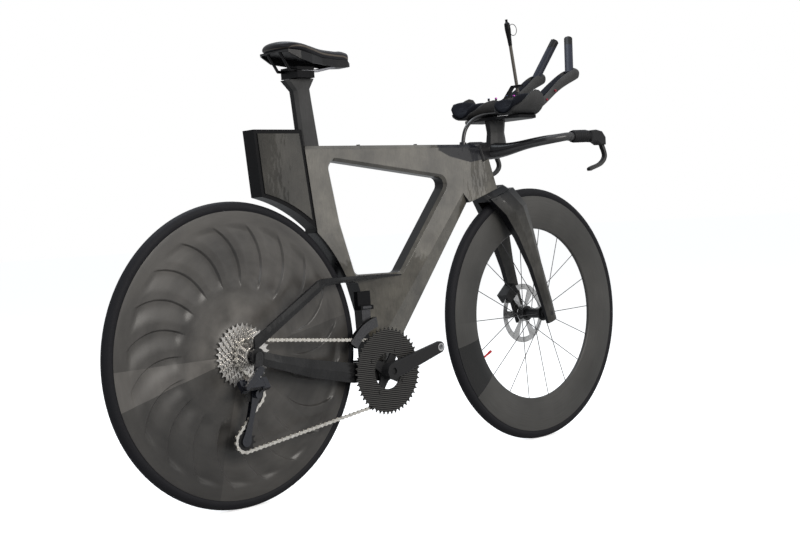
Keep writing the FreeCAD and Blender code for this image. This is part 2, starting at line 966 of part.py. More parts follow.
def solve_cage_angle():
    """The cage angle near its photographed lean at which the chain has a whole, even number of links."""
    wanted = 2 * round(chain_count(chain_stretches(cage_first_angle)) / 2)
    best = None
    for number in range(-400, 401):
        angle = cage_first_angle + number * cage_angle_step
        miss = abs(chain_count(chain_stretches(angle)) - wanted)
        if best is None or miss < best[0]:
            best = (miss, angle)
    middle = best[1]
    low = middle - cage_angle_step
    high = middle + cage_angle_step
    rising = chain_count(chain_stretches(high)) > chain_count(chain_stretches(low))
    for _ in range(60):
        angle = (low + high) / 2
        if (chain_count(chain_stretches(angle)) < wanted) == rising:
            low = angle
        else:
            high = angle
    return angle, wanted


cage_angle, link_count = solve_cage_angle()
chain_path = chain_stretches(cage_angle)
tension_axle = chain_path[2][0]


def chain_pins():
    """Centres of the chain's pins, one pitch apart along the path."""
    pins = []
    travelled = 0
    for number, (centre, radius, teeth, start, turn, way) in enumerate(chain_path):
        per_link = 2 * math.pi / teeth
        length = turn / per_link
        while len(pins) <= travelled + length and len(pins) < link_count:
            pins.append(spot(centre, radius, start + way * (len(pins) - travelled) * per_link))
        travelled += length
        after = chain_path[(number + 1) % len(chain_path)]
        leave = spot(centre, radius, start + way * turn)
        meet = spot(after[0], after[1], after[3])
        run = meet - leave
        length = run.Length / float(size.chain_pitch)
        while len(pins) <= travelled + length and len(pins) < link_count:
            pins.append(leave + run * ((len(pins) - travelled) / length))
        travelled += length
    return pins


pins = chain_pins()


def gap_angle_on(centre, radius):
    """Angle of a pin that lies on a sprocket's pitch circle, for turning a tooth gap to it."""
    seated = min(pins, key=lambda pin: abs((pin - centre).Length - radius))
    return math.atan2(seated.z - centre.z, seated.x - centre.x)


def link_outline(reach):
    """Side view of a chain plate: two round ends and a narrower waist, pins on the X axis."""
    radius = float(size.plate_radius)
    waist = float(size.plate_waist)
    half = float(size.chain_pitch) / 2
    slant_share = 0.71
    dx = radius * slant_share
    corners = [
        (V(half - dx, 0, dx), V(half + radius, 0, 0), V(half - dx, 0, -dx)),
        (V(half - dx, 0, -dx), V(0, 0, -waist), V(dx - half, 0, -dx)),
        (V(dx - half, 0, -dx), V(-half - radius, 0, 0), V(dx - half, 0, dx)),
        (V(dx - half, 0, dx), V(0, 0, waist), V(half - dx, 0, dx)),
    ]
    return plate(path_of(corners), -reach, reach * 2)


def make_link(inside, outside, barrel, bore):
    """Two plates joined by two barrels; a bore makes the barrels hollow."""
    plates = link_outline(float(outside)).cut(link_outline(float(inside)))
    half = float(size.chain_pitch) / 2
    shape = plates
    for x in (-half, half):
        centre = V(x, 0, 0)
        shape = shape.fuse(drill(barrel, centre, -outside, outside * 2))
        if bore is not None:
            shape = shape.cut(drill(bore, centre, -outside, outside * 2))
    return shape.removeSplitter()


def make_chain():
    inner_link = make_link(size.inner_plate_inside, size.inner_plate_outside, size.roller_radius,
                           size.pin_radius + size.pin_gap)
    outer_link = make_link(size.outer_plate_inside, size.outer_plate_outside, size.pin_radius, None)
    links = []
    for number, pin in enumerate(pins):
        after = pins[(number + 1) % len(pins)]
        copy = (inner_link if number % 2 == 0 else outer_link).copy()
        angle = math.degrees(math.atan2(after.z - pin.z, after.x - pin.x))
        middle = (pin + after) / 2
        copy.Placement = FreeCAD.Placement(at(middle.x, -size.chain_line, middle.z),
                                           FreeCAD.Rotation(ACROSS, -angle))
        links.append(copy)
    piece("chain", solid(Part.makeCompound(links)))


make_chain()

# Cassette on its freehub body


def cog_middle(number):
    """Place of a sprocket across the bicycle: the smallest is outermost."""
    return -size.chain_line + size.cog_step * (number - driven_cog)


def make_cassette():
    bore = size.freehub_radius + size.seat_gap
    parts = []
    seated_angle = gap_angle_on(rear_axle, pitch_radius(cog_teeth[driven_cog]))
    for number, teeth in enumerate(cog_teeth):
        y = cog_middle(number) - size.cog_thickness / 2
        wire = sprocket_wire(rear_axle, teeth, seated_angle)
        hole = drill(bore, rear_axle, y, size.cog_thickness)
        parts.append(solid(plate(wire, y, size.cog_thickness, [hole])))
        if number > 0:
            spacer = tube(bore + size.freehub_rim - size.freehub_radius, bore,
                          size.cog_step - size.cog_thickness,
                          rear_axle + ACROSS * float(y - size.cog_step + size.cog_thickness))
            parts.append(spacer)
    outer_face = cog_middle(0) - size.cog_thickness / 2
    inner_face = cog_middle(len(cog_teeth) - 1) + size.cog_thickness / 2
    axle_bore = size.axle_radius + axle_gap
    end = -(size.rear_width / 2 - size.seat_gap)
    body = turned([
        (axle_bore, end), (size.hub_end_radius, end), (size.hub_end_radius,
                                                       outer_face - size.lock_ring_thickness),
        (size.lock_ring_radius, outer_face - size.lock_ring_thickness), (size.lock_ring_radius, outer_face),
        (size.freehub_radius, outer_face), (size.freehub_radius, inner_face),
        (size.freehub_rim, inner_face), (size.freehub_rim, -size.disc_right_bulge - size.running_gap),
        (axle_bore, -size.disc_right_bulge - size.running_gap)], rear_axle)
    parts.append(body)
    piece("cassette", group(parts))


make_cassette()

# Chainrings, cranks and bottom bracket

inner_ring_y = -size.chain_line
outer_ring_y = inner_ring_y - size.ring_step
ring_half = size.ring_thickness / 2
spider_arms = 4


def spider_angles():
    return [float(size.spider_first_angle) + 360 / spider_arms * number for number in range(spider_arms)]


def ring_bolt_points():
    return [around(bracket, size.ring_bolt_circle, angle) for angle in spider_angles()]


def make_chainrings():
    gap_angle = gap_angle_on(bracket, pitch_radius(inner_ring_teeth))
    parts = []
    for teeth, y, bore in ((inner_ring_teeth, inner_ring_y, size.inner_ring_bore),
                           (outer_ring_teeth, outer_ring_y, size.outer_ring_bore)):
        start = y - ring_half
        holes = [drill(bore, bracket, start, size.ring_thickness)]
        bolt_radius = size.ring_bolt_radius + size.seat_gap
        holes += [drill(bolt_radius, centre, start, size.ring_thickness) for centre in ring_bolt_points()]
        parts.append(solid(plate(sprocket_wire(bracket, teeth, gap_angle), start, size.ring_thickness,
                                 holes)))
    outside = outer_ring_y - ring_half - size.ring_bolt_head
    length = size.ring_step + size.ring_thickness + size.ring_bolt_head
    for centre in ring_bolt_points():
        stem = cylinder(size.ring_bolt_radius, length, centre + ACROSS * float(outside))
        head = cylinder(size.ring_bolt_head_radius, size.ring_bolt_head, centre + ACROSS * float(outside))
        parts.append(joined_solid([stem, head]))
    piece("chainrings", group(parts))


make_chainrings()


def strap_wire(first, last, first_radius, last_radius):
    """A closed outline round two circles in a plane across Y, joined by straight sides."""
    big = float(first_radius)
    small = float(last_radius)
    run = last - first
    angle = math.degrees(math.atan2(run.z, run.x))
    lean = math.degrees(math.asin((big - small) / run.Length))
    top = angle + 90 - lean
    low = angle - 90 + lean
    corners = [
        (around(first, big, top), around(last, small, top)),
        (around(last, small, top), around(last, small, angle), around(last, small, low)),
        (around(last, small, low), around(first, big, low)),
        (around(first, big, low), around(first, big, angle + 180), around(first, big, top)),
    ]
    return path_of(corners)


def crank_arm(angle, y):
    """A tapered arm from the bracket to the pedal eye, bevelled along its long edges."""
    eye = around(bracket, size.crank_length, angle)
    shape = plate(strap_wire(bracket, eye, size.crank_hub_radius, size.crank_eye_radius), y,
                  size.crank_thickness)
    shape = shape.makeChamfer(float(size.crank_bevel), shape.Edges)
    return shape.cut(drill(size.pedal_thread_radius, eye, y, size.crank_thickness))


spider_y = outer_ring_y + ring_half + size.seat_gap
spider_thickness = size.ring_step - size.ring_thickness - size.seat_gap * 2


def spider_arm(angle):
    root = float(size.spider_root_width / 2)
    tip = float(size.spider_tip_width / 2)
    reach = float(size.spider_reach)
    along = around(V(0, 0, 0), 1, angle)
    side = around(V(0, 0, 0), 1, angle + 90)
    corners = [side * root, along * reach + side * tip, along * reach - side * tip, side * -root]
    wire = loop([bracket + corner for corner in corners])
    centre = around(bracket, size.ring_bolt_circle, angle)
    hole = drill(size.ring_bolt_radius + size.seat_gap, centre, spider_y, spider_thickness)
    return solid(plate(wire, spider_y, spider_thickness, [hole]))


cup_face = size.shell_width / 2 + size.cup_lip


def make_cranks():
    arm_y = -size.crank_outside
    angle = float(size.crank_angle)
    reach = size.crank_outside - cup_face - size.running_gap
    right_arm = solid(crank_arm(angle, arm_y))
    right_hub = cylinder(size.crank_hub_radius, reach, bracket - ACROSS * float(size.crank_outside))
    left_end = cup_face + size.running_gap
    spindle = cylinder(size.spindle_radius, size.crank_outside + left_end - size.crank_bolt_depth,
                       bracket - ACROSS * float(left_end))
    arms = [cut(spider_arm(spider_angle), right_hub) for spider_angle in spider_angles()]
    recess = cylinder(size.crank_bolt_radius, size.crank_bolt_depth,
                      bracket - ACROSS * float(size.crank_outside))
    right = cut(joined_solid([right_arm, right_hub]), recess)
    piece("right_crank_arm", group([right, spindle] + arms))
    left_arm = solid(crank_arm(angle + 180, size.crank_outside - size.crank_thickness))
    left_hub = cylinder(size.crank_hub_radius, reach, bracket + ACROSS * float(left_end))
    bore = cylinder(size.spindle_radius + size.seat_gap, reach + size.overrun * 2,
                    bracket + ACROSS * float(left_end - size.overrun))
    piece("left_crank_arm", cut(joined_solid([left_arm, left_hub]), bore))


make_cranks()


def make_bracket_cups():
    inner = size.spindle_radius + size.running_gap
    outer = size.cup_radius - size.seat_gap
    face = size.shell_width / 2
    corners = [(inner, face - size.cup_depth), (outer, face - size.cup_depth), (outer, face),
               (size.shell_radius, face), (size.shell_radius, cup_face), (inner, cup_face)]
    cup = turned(corners, bracket)
    piece("bottom_bracket_cups", group([cup, mirrored(cup)]))


make_bracket_cups()

# Main frame

frame_half = size.frame_width / 2
seat_sine = sine(size.post_tilt)
seat_cosine = cosine(size.post_tilt)
seat_axis = at(-seat_sine, 0, seat_cosine)
seat_ahead = at(seat_cosine, 0, seat_sine)
seat_place = at(-size.post_setback, 0, size.top_tube_height)
seat_back = size.post_setback + size.post_chord / 2 + size.box_front_gap / 2
hole_shares = [(-0.217, 0.9585), (0.181, 0.892), (-0.007, 0.611), (-0.150, 0.615), (-0.189, 0.772)]
down_tube_share = (0.251, 0.8126)
shell_shares = [(0.76, -0.62), (0.3, -0.95), (-0.6, -0.85), (-1.05, -0.2), (-1.1, 2.9)]
rear_edge_shares = [(-0.128, 0.503), (-0.150, 0.591), (-0.191, 0.604), (-0.263, 0.742)]


def frame_corners():
    """Side view of the main frame from the seat tube's top, forward and back round underneath."""
    top = size.top_tube_height
    corners = [(-seat_back, top), (steer_x(top), top)]
    corners += [steer_place(size.head_top, 0), steer_place(size.head_top, size.head_front)]
    corners += [steer_place(size.head_bottom, size.head_front),
                steer_place(size.head_bottom, -size.head_back)]
    corners.append(side_place(*down_tube_share))
    for x_share, z_share in shell_shares:
        corners.append((bracket_x + size.shell_radius * x_share, bracket_z + size.shell_radius * z_share))
    corners += [side_place(*shares) for shares in rear_edge_shares]
    return corners


def on_side(edge):
    """True for an edge that lies in one of the frame's two side faces."""
    half = float(frame_half)
    near = float(size.seat_gap)
    return all(abs(abs(vertex.Point.y) - half) < near for vertex in edge.Vertexes)


def near_line(point, start, end):
    line = end - start
    share = max(0, min(1, (point - start).dot(line) / line.dot(line)))
    return (point - start - line * share).Length < float(size.seat_gap)


def edge_names(shape, test):
    return ["Edge%d" % number for number, edge in enumerate(shape.Edges, start=1) if test(edge)]


def follows(start, end):
    """A test for side edges whose middle lies on a line between two side-view points."""
    def test(edge):
        middle = edge.valueAt((edge.FirstParameter + edge.LastParameter) / 2)
        return on_side(edge) and near_line(V(middle.x, 0, middle.z), start, end)
    return test


def make_front_triangle():
    body = doc.addObject("PartDesign::Body", "triangle")
    sketch = sketch_on(body, "XZ_Plane")
    corners = frame_corners()
    hole = [side_place(*shares) for shares in hole_shares]
    draw(sketch, corners)
    draw(sketch, hole)
    pad = body.newObject("PartDesign::Pad", "slab")
    pad.Profile = sketch
    pad.Midplane = True
    bind(pad, Length=size.frame_width)
    doc.recompute()
    hole_points = [at(x, 0, z) for x, z in hole]

    def upright_hole_corner(edge):
        middle = edge.CenterOfMass
        if abs(edge.Vertexes[0].Point.y - edge.Vertexes[-1].Point.y) < float(frame_half):
            return False
        return any((V(middle.x, 0, middle.z) - point).Length < float(size.seat_gap) for point in hole_points)

    fillet = body.newObject("PartDesign::Fillet", "hole_corners")
    fillet.Base = (pad, edge_names(pad.Shape, upright_hole_corner))
    bind(fillet, Radius=size.hole_radius)
    doc.recompute()
    points = [at(x, 0, z) for x, z in corners]
    top = follows(points[0], points[1])
    head = follows(points[3], points[4])
    edges = edge_names(fillet.Shape, lambda edge: top(edge) or head(edge))
    bevel = body.newObject("PartDesign::Chamfer", "outer_bevel")
    bevel.Base = (fillet, edges)
    bind(bevel, Size=size.frame_bevel)
    doc.recompute()

    box_low = min(point.x for point in hole_points) - float(size.seat_gap)
    box_high = max(point.x for point in hole_points) + float(size.seat_gap)
    floor = min(point.z for point in hole_points) - float(size.seat_gap)
    ceiling = max(point.z for point in hole_points) + float(size.seat_gap)

    def hole_edge(edge):
        middle = edge.CenterOfMass
        inside = box_low < middle.x < box_high and floor < middle.z < ceiling
        return on_side(edge) and inside and not top(edge)

    inner_bevel = body.newObject("PartDesign::Chamfer", "hole_bevel")
    inner_bevel.Base = (bevel, edge_names(bevel.Shape, hole_edge))
    bind(inner_bevel, Size=size.hole_bevel)
    body.Tip = inner_bevel
    doc.recompute()
    return body


def down_tube_wedge():
    """The corner taken off the left of the down tube's front, widening from the head to the bracket."""
    corners = frame_corners()
    top = at(corners[6][0], 0, corners[6][1])
    low = at(corners[7][0], 0, corners[7][1])
    along = (low - top).normalize()
    back = V(along.z, 0, -along.x)
    half = float(frame_half)
    depth = float(size.down_tube_bevel_depth)
    out = float(size.overrun)
    top_back_share = 0.14
    rows = [(top, (back - along * top_back_share).normalize(), float(size.down_tube_bevel_top)),
            (low + along * out, back, float(size.down_tube_bevel_foot))]
    wires = []
    for place, inward, reach in rows:
        slope = depth / reach
        front = half - depth - out * slope
        deep = reach + out
        wires.append(loop([place - inward * out + ACROSS * front,
                           place + inward * deep + ACROSS * (half + out * slope),
                           place - inward * out + ACROSS * (half + out * slope)]))
    return solid(Part.makeLoft(wires, True, True))


def post_outline(chord, thickness, middle):
    """Section of the seatpost: round nose, flat flanks, a blunt tail, square to the seat axis."""
    half = float(thickness) / 2
    front = float(chord) / 2
    flank_share = 0.62
    tail_share = 0.55
    turn_share = 0.7
    nose = front - half
    tail = -front + half * flank_share

    def spot_at(along, y):
        return middle + seat_ahead * along + ACROSS * y

    corners = [
        (spot_at(tail, half), spot_at(nose, half)),
        (spot_at(nose, half), spot_at(nose + half * turn_share, half * turn_share), spot_at(front, 0)),
        (spot_at(front, 0), spot_at(nose + half * turn_share, -half * turn_share), spot_at(nose, -half)),
        (spot_at(nose, -half), spot_at(tail, -half)),
        (spot_at(tail, -half), spot_at(-front, -half * tail_share)),
        (spot_at(-front, -half * tail_share), spot_at(-front, half * tail_share)),
        (spot_at(-front, half * tail_share), spot_at(tail, half)),
    ]
    return path_of(corners)


def seat_pocket():
    """The hollow in the seat tube that the post slides in, open at the top."""
    gap = size.running_gap
    depth = float(size.post_depth + size.overrun * 2)
    wire = post_outline(size.post_chord + gap * 2, size.post_thickness + gap * 2,
                        seat_place - seat_axis * depth)
    shape = Part.Face(wire).extrude(seat_axis * (depth + float(size.overrun * 2)))
    return solid(shape)


screw_shares = (-0.102, 0.089)


def screw_points():
    return [at(size.wheelbase * share, 0, size.top_tube_height) for share in screw_shares]


hose_shares = [
    # Ahead and up, from the top tube to the straw's foot
    (0.0, 0.0), (0.018, 0.170), (0.092, 0.341), (0.212, 0.459), (0.359, 0.522), (0.516, 0.544),
    (0.673, 0.556), (0.829, 0.578), (0.949, 0.659), (1.014, 0.815), (1.0, 1.0),
]
straw_foot = at(size.straw_foot_ahead, 0, size.straw_foot_height)
straw_top = at(size.straw_top_ahead, 0, size.straw_top_height)
straw_axis = (straw_top - straw_foot).normalize()
hose_start = at(size.hose_ahead, 0, size.top_tube_height + size.hose_boss_height)


def hose_points():
    span = straw_foot - straw_axis * float(size.seat_gap) - hose_start
    return [hose_start + V(span.x * ahead_share, 0, span.z * up_share) for ahead_share,
            up_share in hose_shares]


hose_route = hose_points()


def make_frame():
    wedge = down_tube_wedge()
    slab = cut(make_front_triangle(), wedge, mirrored(wedge))
    shell = cylinder(size.shell_radius, size.shell_width, bracket - ACROSS * float(size.shell_width / 2))
    boss_axis = (hose_route[1] - hose_route[0]).normalize()
    boss_end = hose_start - boss_axis * float(size.seat_gap)
    boss = bar(boss_end - boss_axis * float(size.hose_boss_height * 3), boss_end, size.hose_boss_radius)
    whole = joined_solid([slab, shell, boss])
    tools = [cylinder(size.wheel_radius + size.tyre_gap, size.frame_width * 2,
                      rear_axle - ACROSS * float(size.frame_width))]
    tools.append(cylinder(size.cup_radius, size.shell_width * 2, bracket - ACROSS * float(size.shell_width)))
    tools.append(cylinder(size.steerer_radius + size.running_gap,
                          size.head_top - size.head_bottom + size.overrun * 2,
                          steer_point(size.head_bottom - size.overrun, 0), steer_axis))
    seat = size.bearing_radius + size.seat_gap
    tools.append(cylinder(seat, size.bearing_height + size.overrun,
                          steer_point(size.head_bottom - size.overrun, 0),
                          steer_axis))
    tools.append(cylinder(seat, size.bearing_height, steer_point(size.head_top - size.bearing_height, 0),
                          steer_axis))
    pocket_foot = steer_point(size.head_top, 0)
    tools.append(cylinder(size.stem_radius + size.stem_pocket_gap, size.head_top, pocket_foot,
                          steer_axis))
    tools.append(seat_pocket())
    for place in screw_points():
        tools.append(cylinder(size.screw_stem_radius + size.seat_gap, size.screw_depth,
                              place - UP * float(size.screw_depth), UP))
    piece("front_triangle", cut(whole, *tools))


make_frame()


def make_frame_screws():
    screws = []
    for place in screw_points():
        head = cylinder(size.screw_radius, size.screw_height, place, UP)
        depth = size.screw_depth - size.seat_gap
        stem = cylinder(size.screw_stem_radius, depth + size.screw_height, place - UP * float(depth), UP)
        screws.append(joined_solid([head, stem]))
    piece("frame_screws", group(screws))


make_frame_screws()


def make_headset():
    inner = size.steerer_radius + size.running_gap
    length = size.bearing_height - size.seat_gap
    low = tube(size.bearing_radius, inner, length, steer_point(size.head_bottom, 0), steer_axis)
    high = tube(size.bearing_radius, inner, length, steer_point(size.head_top - size.bearing_height, 0),
                steer_axis)
    piece("headset_bearings", group([low, high]))


make_headset()

# Stays, dropouts, hanger and rear axle

dropout_inside = size.rear_width / 2
dropout_outside = dropout_inside + size.dropout_thickness


def stay_section(x, y, z, half_width, half_height):
    """A six-sided section across X, with its widest line at mid height."""
    narrow_share = 0.62
    narrow = half_width * narrow_share
    return loop([V(x, y - narrow, z - half_height), V(x, y + narrow, z - half_height),
                 V(x, y + half_width, z),
                 V(x, y + narrow, z + half_height), V(x, y - narrow, z + half_height), V(x, y - half_width,
                                                                                         z)])


def stay_loft(rows):
    """Rows are shares: place from bracket to rear axle, then side, height, half width and half height."""
    wires = []
    span = rear_axle - bracket
    for along_share, side_share, height_share, width_share, tall_share in rows:
        x = bracket.x + span.x * along_share
        z = bracket.z + span.z * along_share + float(size.wheel_radius) * height_share
        y = float(dropout_inside) * side_share
        wires.append(stay_section(x, y, z, float(dropout_inside) * width_share,
                                  float(size.wheel_radius) * tall_share))
    return Part.makeLoft(wires, True, True)


chain_stay_shares = [
    (0.035, 0.445, -0.004, 0.126, 0.068),
    (0.247, 0.470, -0.040, 0.124, 0.070),
    (0.580, 0.704, -0.042, 0.113, 0.062),
    (0.830, 0.944, -0.026, 0.085, 0.048),
    (0.955, 1.051, -0.012, 0.048, 0.046),
    (1.030, 1.051, 0.006, 0.048, 0.030),
]
seat_stay_shares = [
    (1.015, 1.051, 0.074, 0.048, 0.044),
    (0.930, 1.007, 0.146, 0.070, 0.040),
    (0.506, 0.775, 0.517, 0.085, 0.038),
    (0.463, 0.732, 0.552, 0.113, 0.026),
    (0.331, 0.600, 0.588, 0.197, 0.020),
    (0.132, 0.470, 0.637, 0.158, 0.016),
    (-0.092, 0.360, 0.689, 0.048, 0.010),
    (-0.222, 0.326, 0.716, 0.015, 0.004),
]


def make_stays():
    lug = drill(size.dropout_radius, rear_axle, dropout_inside, size.dropout_thickness)
    bore = drill(size.axle_radius + axle_gap, rear_axle, 0, size.rear_width)
    shell = drill(size.shell_radius + size.seat_gap, bracket, 0, size.shell_width)
    beyond = float(size.wheel_radius * 2)
    wide = float(dropout_inside)
    hub_zone = Part.makeBox(float(size.dropout_radius * 3), wide, beyond,
                            at(rear_axle.x - float(size.dropout_radius), 0, 0))
    frame_zone = Part.makeBox(beyond, float(frame_half + size.seat_gap), beyond * 2,
                              at(-size.post_setback, 0, 0))
    chain_shape = stay_loft(chain_stay_shares).cut(hub_zone).fuse(lug).removeSplitter()
    chain_shape = chain_shape.cut(bore).cut(shell).cut(frame_zone)
    seat_shape = stay_loft(seat_stay_shares).cut(hub_zone).cut(chain_shape).cut(frame_zone)
    chain_stay = solid(chain_shape)
    seat_stay = solid(seat_shape)
    piece("chain_stays", group([chain_stay, mirrored(chain_stay)]))
    piece("seat_stays", group([seat_stay, mirrored(seat_stay)]))
    return [chain_shape, seat_shape]


left_stays = make_stays()
make_thru_axle("rear_axle", rear_axle, dropout_outside + size.hanger_thickness)
hanger_eye = at(rear_axle.x - float(size.hanger_bolt_radius), 0, rear_axle.z - float(size.hanger_drop))
hanger_y = -dropout_outside - size.seat_gap - size.hanger_thickness


def make_hanger():
    half = float(size.hanger_width / 2)
    top = around(rear_axle, half, 180)
    low = around(hanger_eye, half, 0)
    corners = [
        (around(rear_axle, half, 0), around(rear_axle, half, 90), top),
        (top, around(hanger_eye, half, 180)),
        (around(hanger_eye, half, 180), around(hanger_eye, half, 270), low),
        (low, around(rear_axle, half, 0)),
    ]
    holes = [drill(size.axle_radius + axle_gap, rear_axle, hanger_y, size.hanger_thickness),
             drill(size.hanger_bolt_radius + size.seat_gap, hanger_eye, hanger_y, size.hanger_thickness)]
    piece("derailleur_hanger", solid(plate(path_of(corners), hanger_y, size.hanger_thickness, holes)))


make_hanger()

# Storage box behind the seat tube


def box_corners(inset):
    """Side view of the box, drawn in by an inset: seat tube line, top, back and low end."""
    top = float(size.box_top) - inset
    front_x = float(-seat_back - size.box_front_gap) - inset
    low_x, low_z = side_place(*rear_edge_shares[-1])
    drop = float(size.top_tube_height - low_z)
    lean = (float(low_x) - float(-seat_back)) / drop
    gap = float(size.seat_gap) + inset
    return [V(-float(seat_back) - gap, 0, float(size.top_tube_height)), V(front_x, 0, top),
            V(-float(size.box_back) + inset, 0, top), V(-float(size.box_back_low) + inset, 0, float(low_z)),
            V(float(low_x) - gap + lean, 0, float(low_z))]


def make_box():
    core_half = frame_half - size.box_panel
    tyre_zone = drill(size.wheel_radius + size.box_tyre_gap, rear_axle, -size.frame_width,
                      size.frame_width * 2)
    core = plate(loop(box_corners(0)), -core_half, core_half * 2, [tyre_zone])
    piece("storage_box", solid(core))
    inset = float(size.box_panel_inset)
    panel_zone = drill(size.wheel_radius + size.box_tyre_gap + size.box_panel_inset, rear_axle,
                       -size.frame_width,
                       size.frame_width * 2)
    panel = solid(plate(loop(box_corners(inset)), core_half, size.box_panel, [panel_zone]))
    piece("storage_panels", group([panel, mirrored(panel)]))


make_box()

# Seatpost, saddle clamp and saddle


def make_seatpost():
    chord = size.post_chord
    thick = size.post_thickness
    rise = float(size.post_rise)
    head_middle = seat_place + seat_axis * ((float(size.post_top) - seat_place.z) / float(seat_cosine))
    neck_share = 0.45
    low = seat_place + seat_axis * rise
    wires = [
        post_outline(chord, thick, seat_place - seat_axis * float(size.post_depth)),
        post_outline(chord, thick, seat_place),
        post_outline(size.post_neck_chord, thick, low),
        post_outline(size.post_neck_chord, thick, low + (head_middle - low) * neck_share),
        post_outline(size.post_head_chord, size.post_head_thickness, head_middle),
    ]
    shape = Part.makeLoft(wires, True, True)
    above = Part.makeBox(float(size.wheelbase), float(size.frame_width * 2), float(size.frame_width * 2),
                         at(-size.wheelbase, -size.frame_width, size.post_top))
    piece("seatpost", solid(shape.cut(above)))
    return head_middle


post_head = make_seatpost()
rail_z = size.post_top + size.clamp_height
saddle_x = Size(post_head.x, repr(post_head.x))


def rail_rod(radius, y):
    start = at(saddle_x - size.rail_length / 2, y, rail_z)
    return cylinder(radius, size.rail_length, start, AHEAD)


def make_saddle_clamp():
    half = size.clamp_length / 2
    corner = at(saddle_x - half, -size.clamp_width / 2, size.post_top)
    base = box(size.clamp_length, size.clamp_width, size.clamp_height - size.clamp_lid_gap / 2, corner)
    lid_z = rail_z + size.clamp_lid_gap / 2
    lid = box(size.clamp_length, size.clamp_width, size.clamp_lid, at(corner.x, corner.y, lid_z))
    groove = size.rail_radius + size.seat_gap
    parts = []
    bolt_points = [at(saddle_x + size.clamp_bolt_spread * way, 0, 0) for way in (RIGHT, LEFT)]
    for block in (base, lid):
        holes = [cylinder(size.clamp_bolt_radius + size.seat_gap, size.box_top,
                          at(place.x, 0, size.post_top), UP)
                 for place in bolt_points]
        rods = [rail_rod(groove, size.rail_spread * way) for way in (RIGHT, LEFT)]
        parts.append(cut(block, *(holes + rods)))
    top = lid_z + size.clamp_lid
    for place in bolt_points:
        stem = cylinder(size.clamp_bolt_radius, top - size.post_top, at(place.x, 0, size.post_top), UP)
        head = cylinder(size.clamp_bolt_head_radius, size.clamp_bolt_head, at(place.x, 0, top), UP)
        parts.append(joined_solid([stem, head]))
    piece("saddle_clamp", group(parts))


make_saddle_clamp()
saddle_rows = [
    # Place from tail to nose, half width, fall of the top, then depth of the shell, each a share
    (0.00, 0.62, 0.15, 0.16),
    (0.06, 0.90, 0.00, 0.29),
    (0.20, 1.00, 0.20, 0.80),
    (0.38, 0.80, 0.55, 0.86),
    (0.58, 0.47, 0.90, 0.66),
    (0.80, 0.33, 1.00, 0.79),
    (0.96, 0.29, 1.00, 0.71),
    (1.00, 0.22, 1.50, 0.33),
]
hollow_row_count = 6


def saddle_places():
    """Rows of (x, half width, height of the top, height of the shell's lower edge)."""
    length = float(size.saddle_tail - size.saddle_nose)
    fall = float(size.saddle_tail_height - size.saddle_nose_height)
    places = []
    for along_share, width_share, fall_share, skirt_share in saddle_rows:
        x = -float(size.saddle_tail) + length * along_share
        width = float(size.saddle_half_width) * width_share
        top = float(size.saddle_tail_height) - fall * fall_share
        edge = top - float(size.saddle_padding) - float(size.saddle_skirt) * skirt_share
        places.append((x, width, top, edge))
    return places


def saddle_section(x, width, top, bottom):
    """A cushion's section: flat underneath, drawn-in sides, a crowned top."""
    shoulder_share = 0.72
    bulge_share = 0.94
    tuck_share = 0.9
    lift = (top - bottom) / 3
    low = bottom + lift / 2
    high = top - lift / 2
    corners = [
        (V(x, -width * tuck_share, bottom), V(x, width * tuck_share, bottom)),
        (V(x, width * tuck_share, bottom), V(x, width, low)),
        (V(x, width, low), V(x, width * bulge_share, top - lift), V(x, width * shoulder_share, high)),
        (V(x, width * shoulder_share, high), V(x, 0, top), V(x, -width * shoulder_share, high)),
        (V(x, -width * shoulder_share, high), V(x, -width * bulge_share, top - lift), V(x, -width, low)),
        (V(x, -width, low), V(x, -width * tuck_share, bottom)),
    ]
    return path_of(corners)


def block_section(x, half, high, low):
    return loop([V(x, -half, high), V(x, half, high), V(x, half, low), V(x, -half, low)])


def groove_place(along_share):
    """A point of the relief groove's axis, which follows the slope of the saddle's top."""
    x = size.saddle_nose * along_share + size.saddle_tail * (1 - along_share)
    top = size.saddle_nose_height * along_share + size.saddle_tail_height * (1 - along_share)
    return at(-x, 0, top + size.saddle_groove_radius - size.saddle_groove_depth)


def make_saddle():
    """A padded cover on a shell that is hollow behind the nose."""
    padding = float(size.saddle_padding)
    shell = float(size.saddle_shell_thickness)
    cover = Part.makeLoft([saddle_section(x, width, top, top - padding) for x, width,
                           top, edge in saddle_places()], True, False)
    shell_share = 0.86
    wires = []
    hollow_wires = []
    for x, width, top, edge in saddle_places():
        half = width * shell_share
        high = top - padding - float(size.seat_gap)
        wires.append(block_section(x, half, high, edge))
        hollow_wires.append(block_section(x, half - shell, high - shell, edge - shell))
    under = Part.makeLoft(wires, True, True)
    under = under.cut(cover).cut(Part.makeLoft(hollow_wires[:hollow_row_count], True, True))
    groove_start_share = 0.15
    groove_end_share = 0.88
    groove_start = groove_place(groove_start_share)
    groove_run = groove_place(groove_end_share) - groove_start
    groove = Part.makeCylinder(float(size.saddle_groove_radius), groove_run.Length, groove_start, groove_run)
    piece("saddle_cover", solid(cover.cut(groove)))
    piece("saddle_shell", solid(under))
    hollow_roof = [(x, top - padding - shell) for x, width, top, edge in saddle_places()]
    make_rails(hollow_roof)


def height_over(rows, x):
    """Height on a line through (x, height) rows."""
    for (first_x, first_z), (last_x, last_z) in zip(rows, rows[1:]):
        if first_x <= x <= last_x:
            return first_z + (last_z - first_z) * (x - first_x) / (last_x - first_x)
    return rows[-1][1]


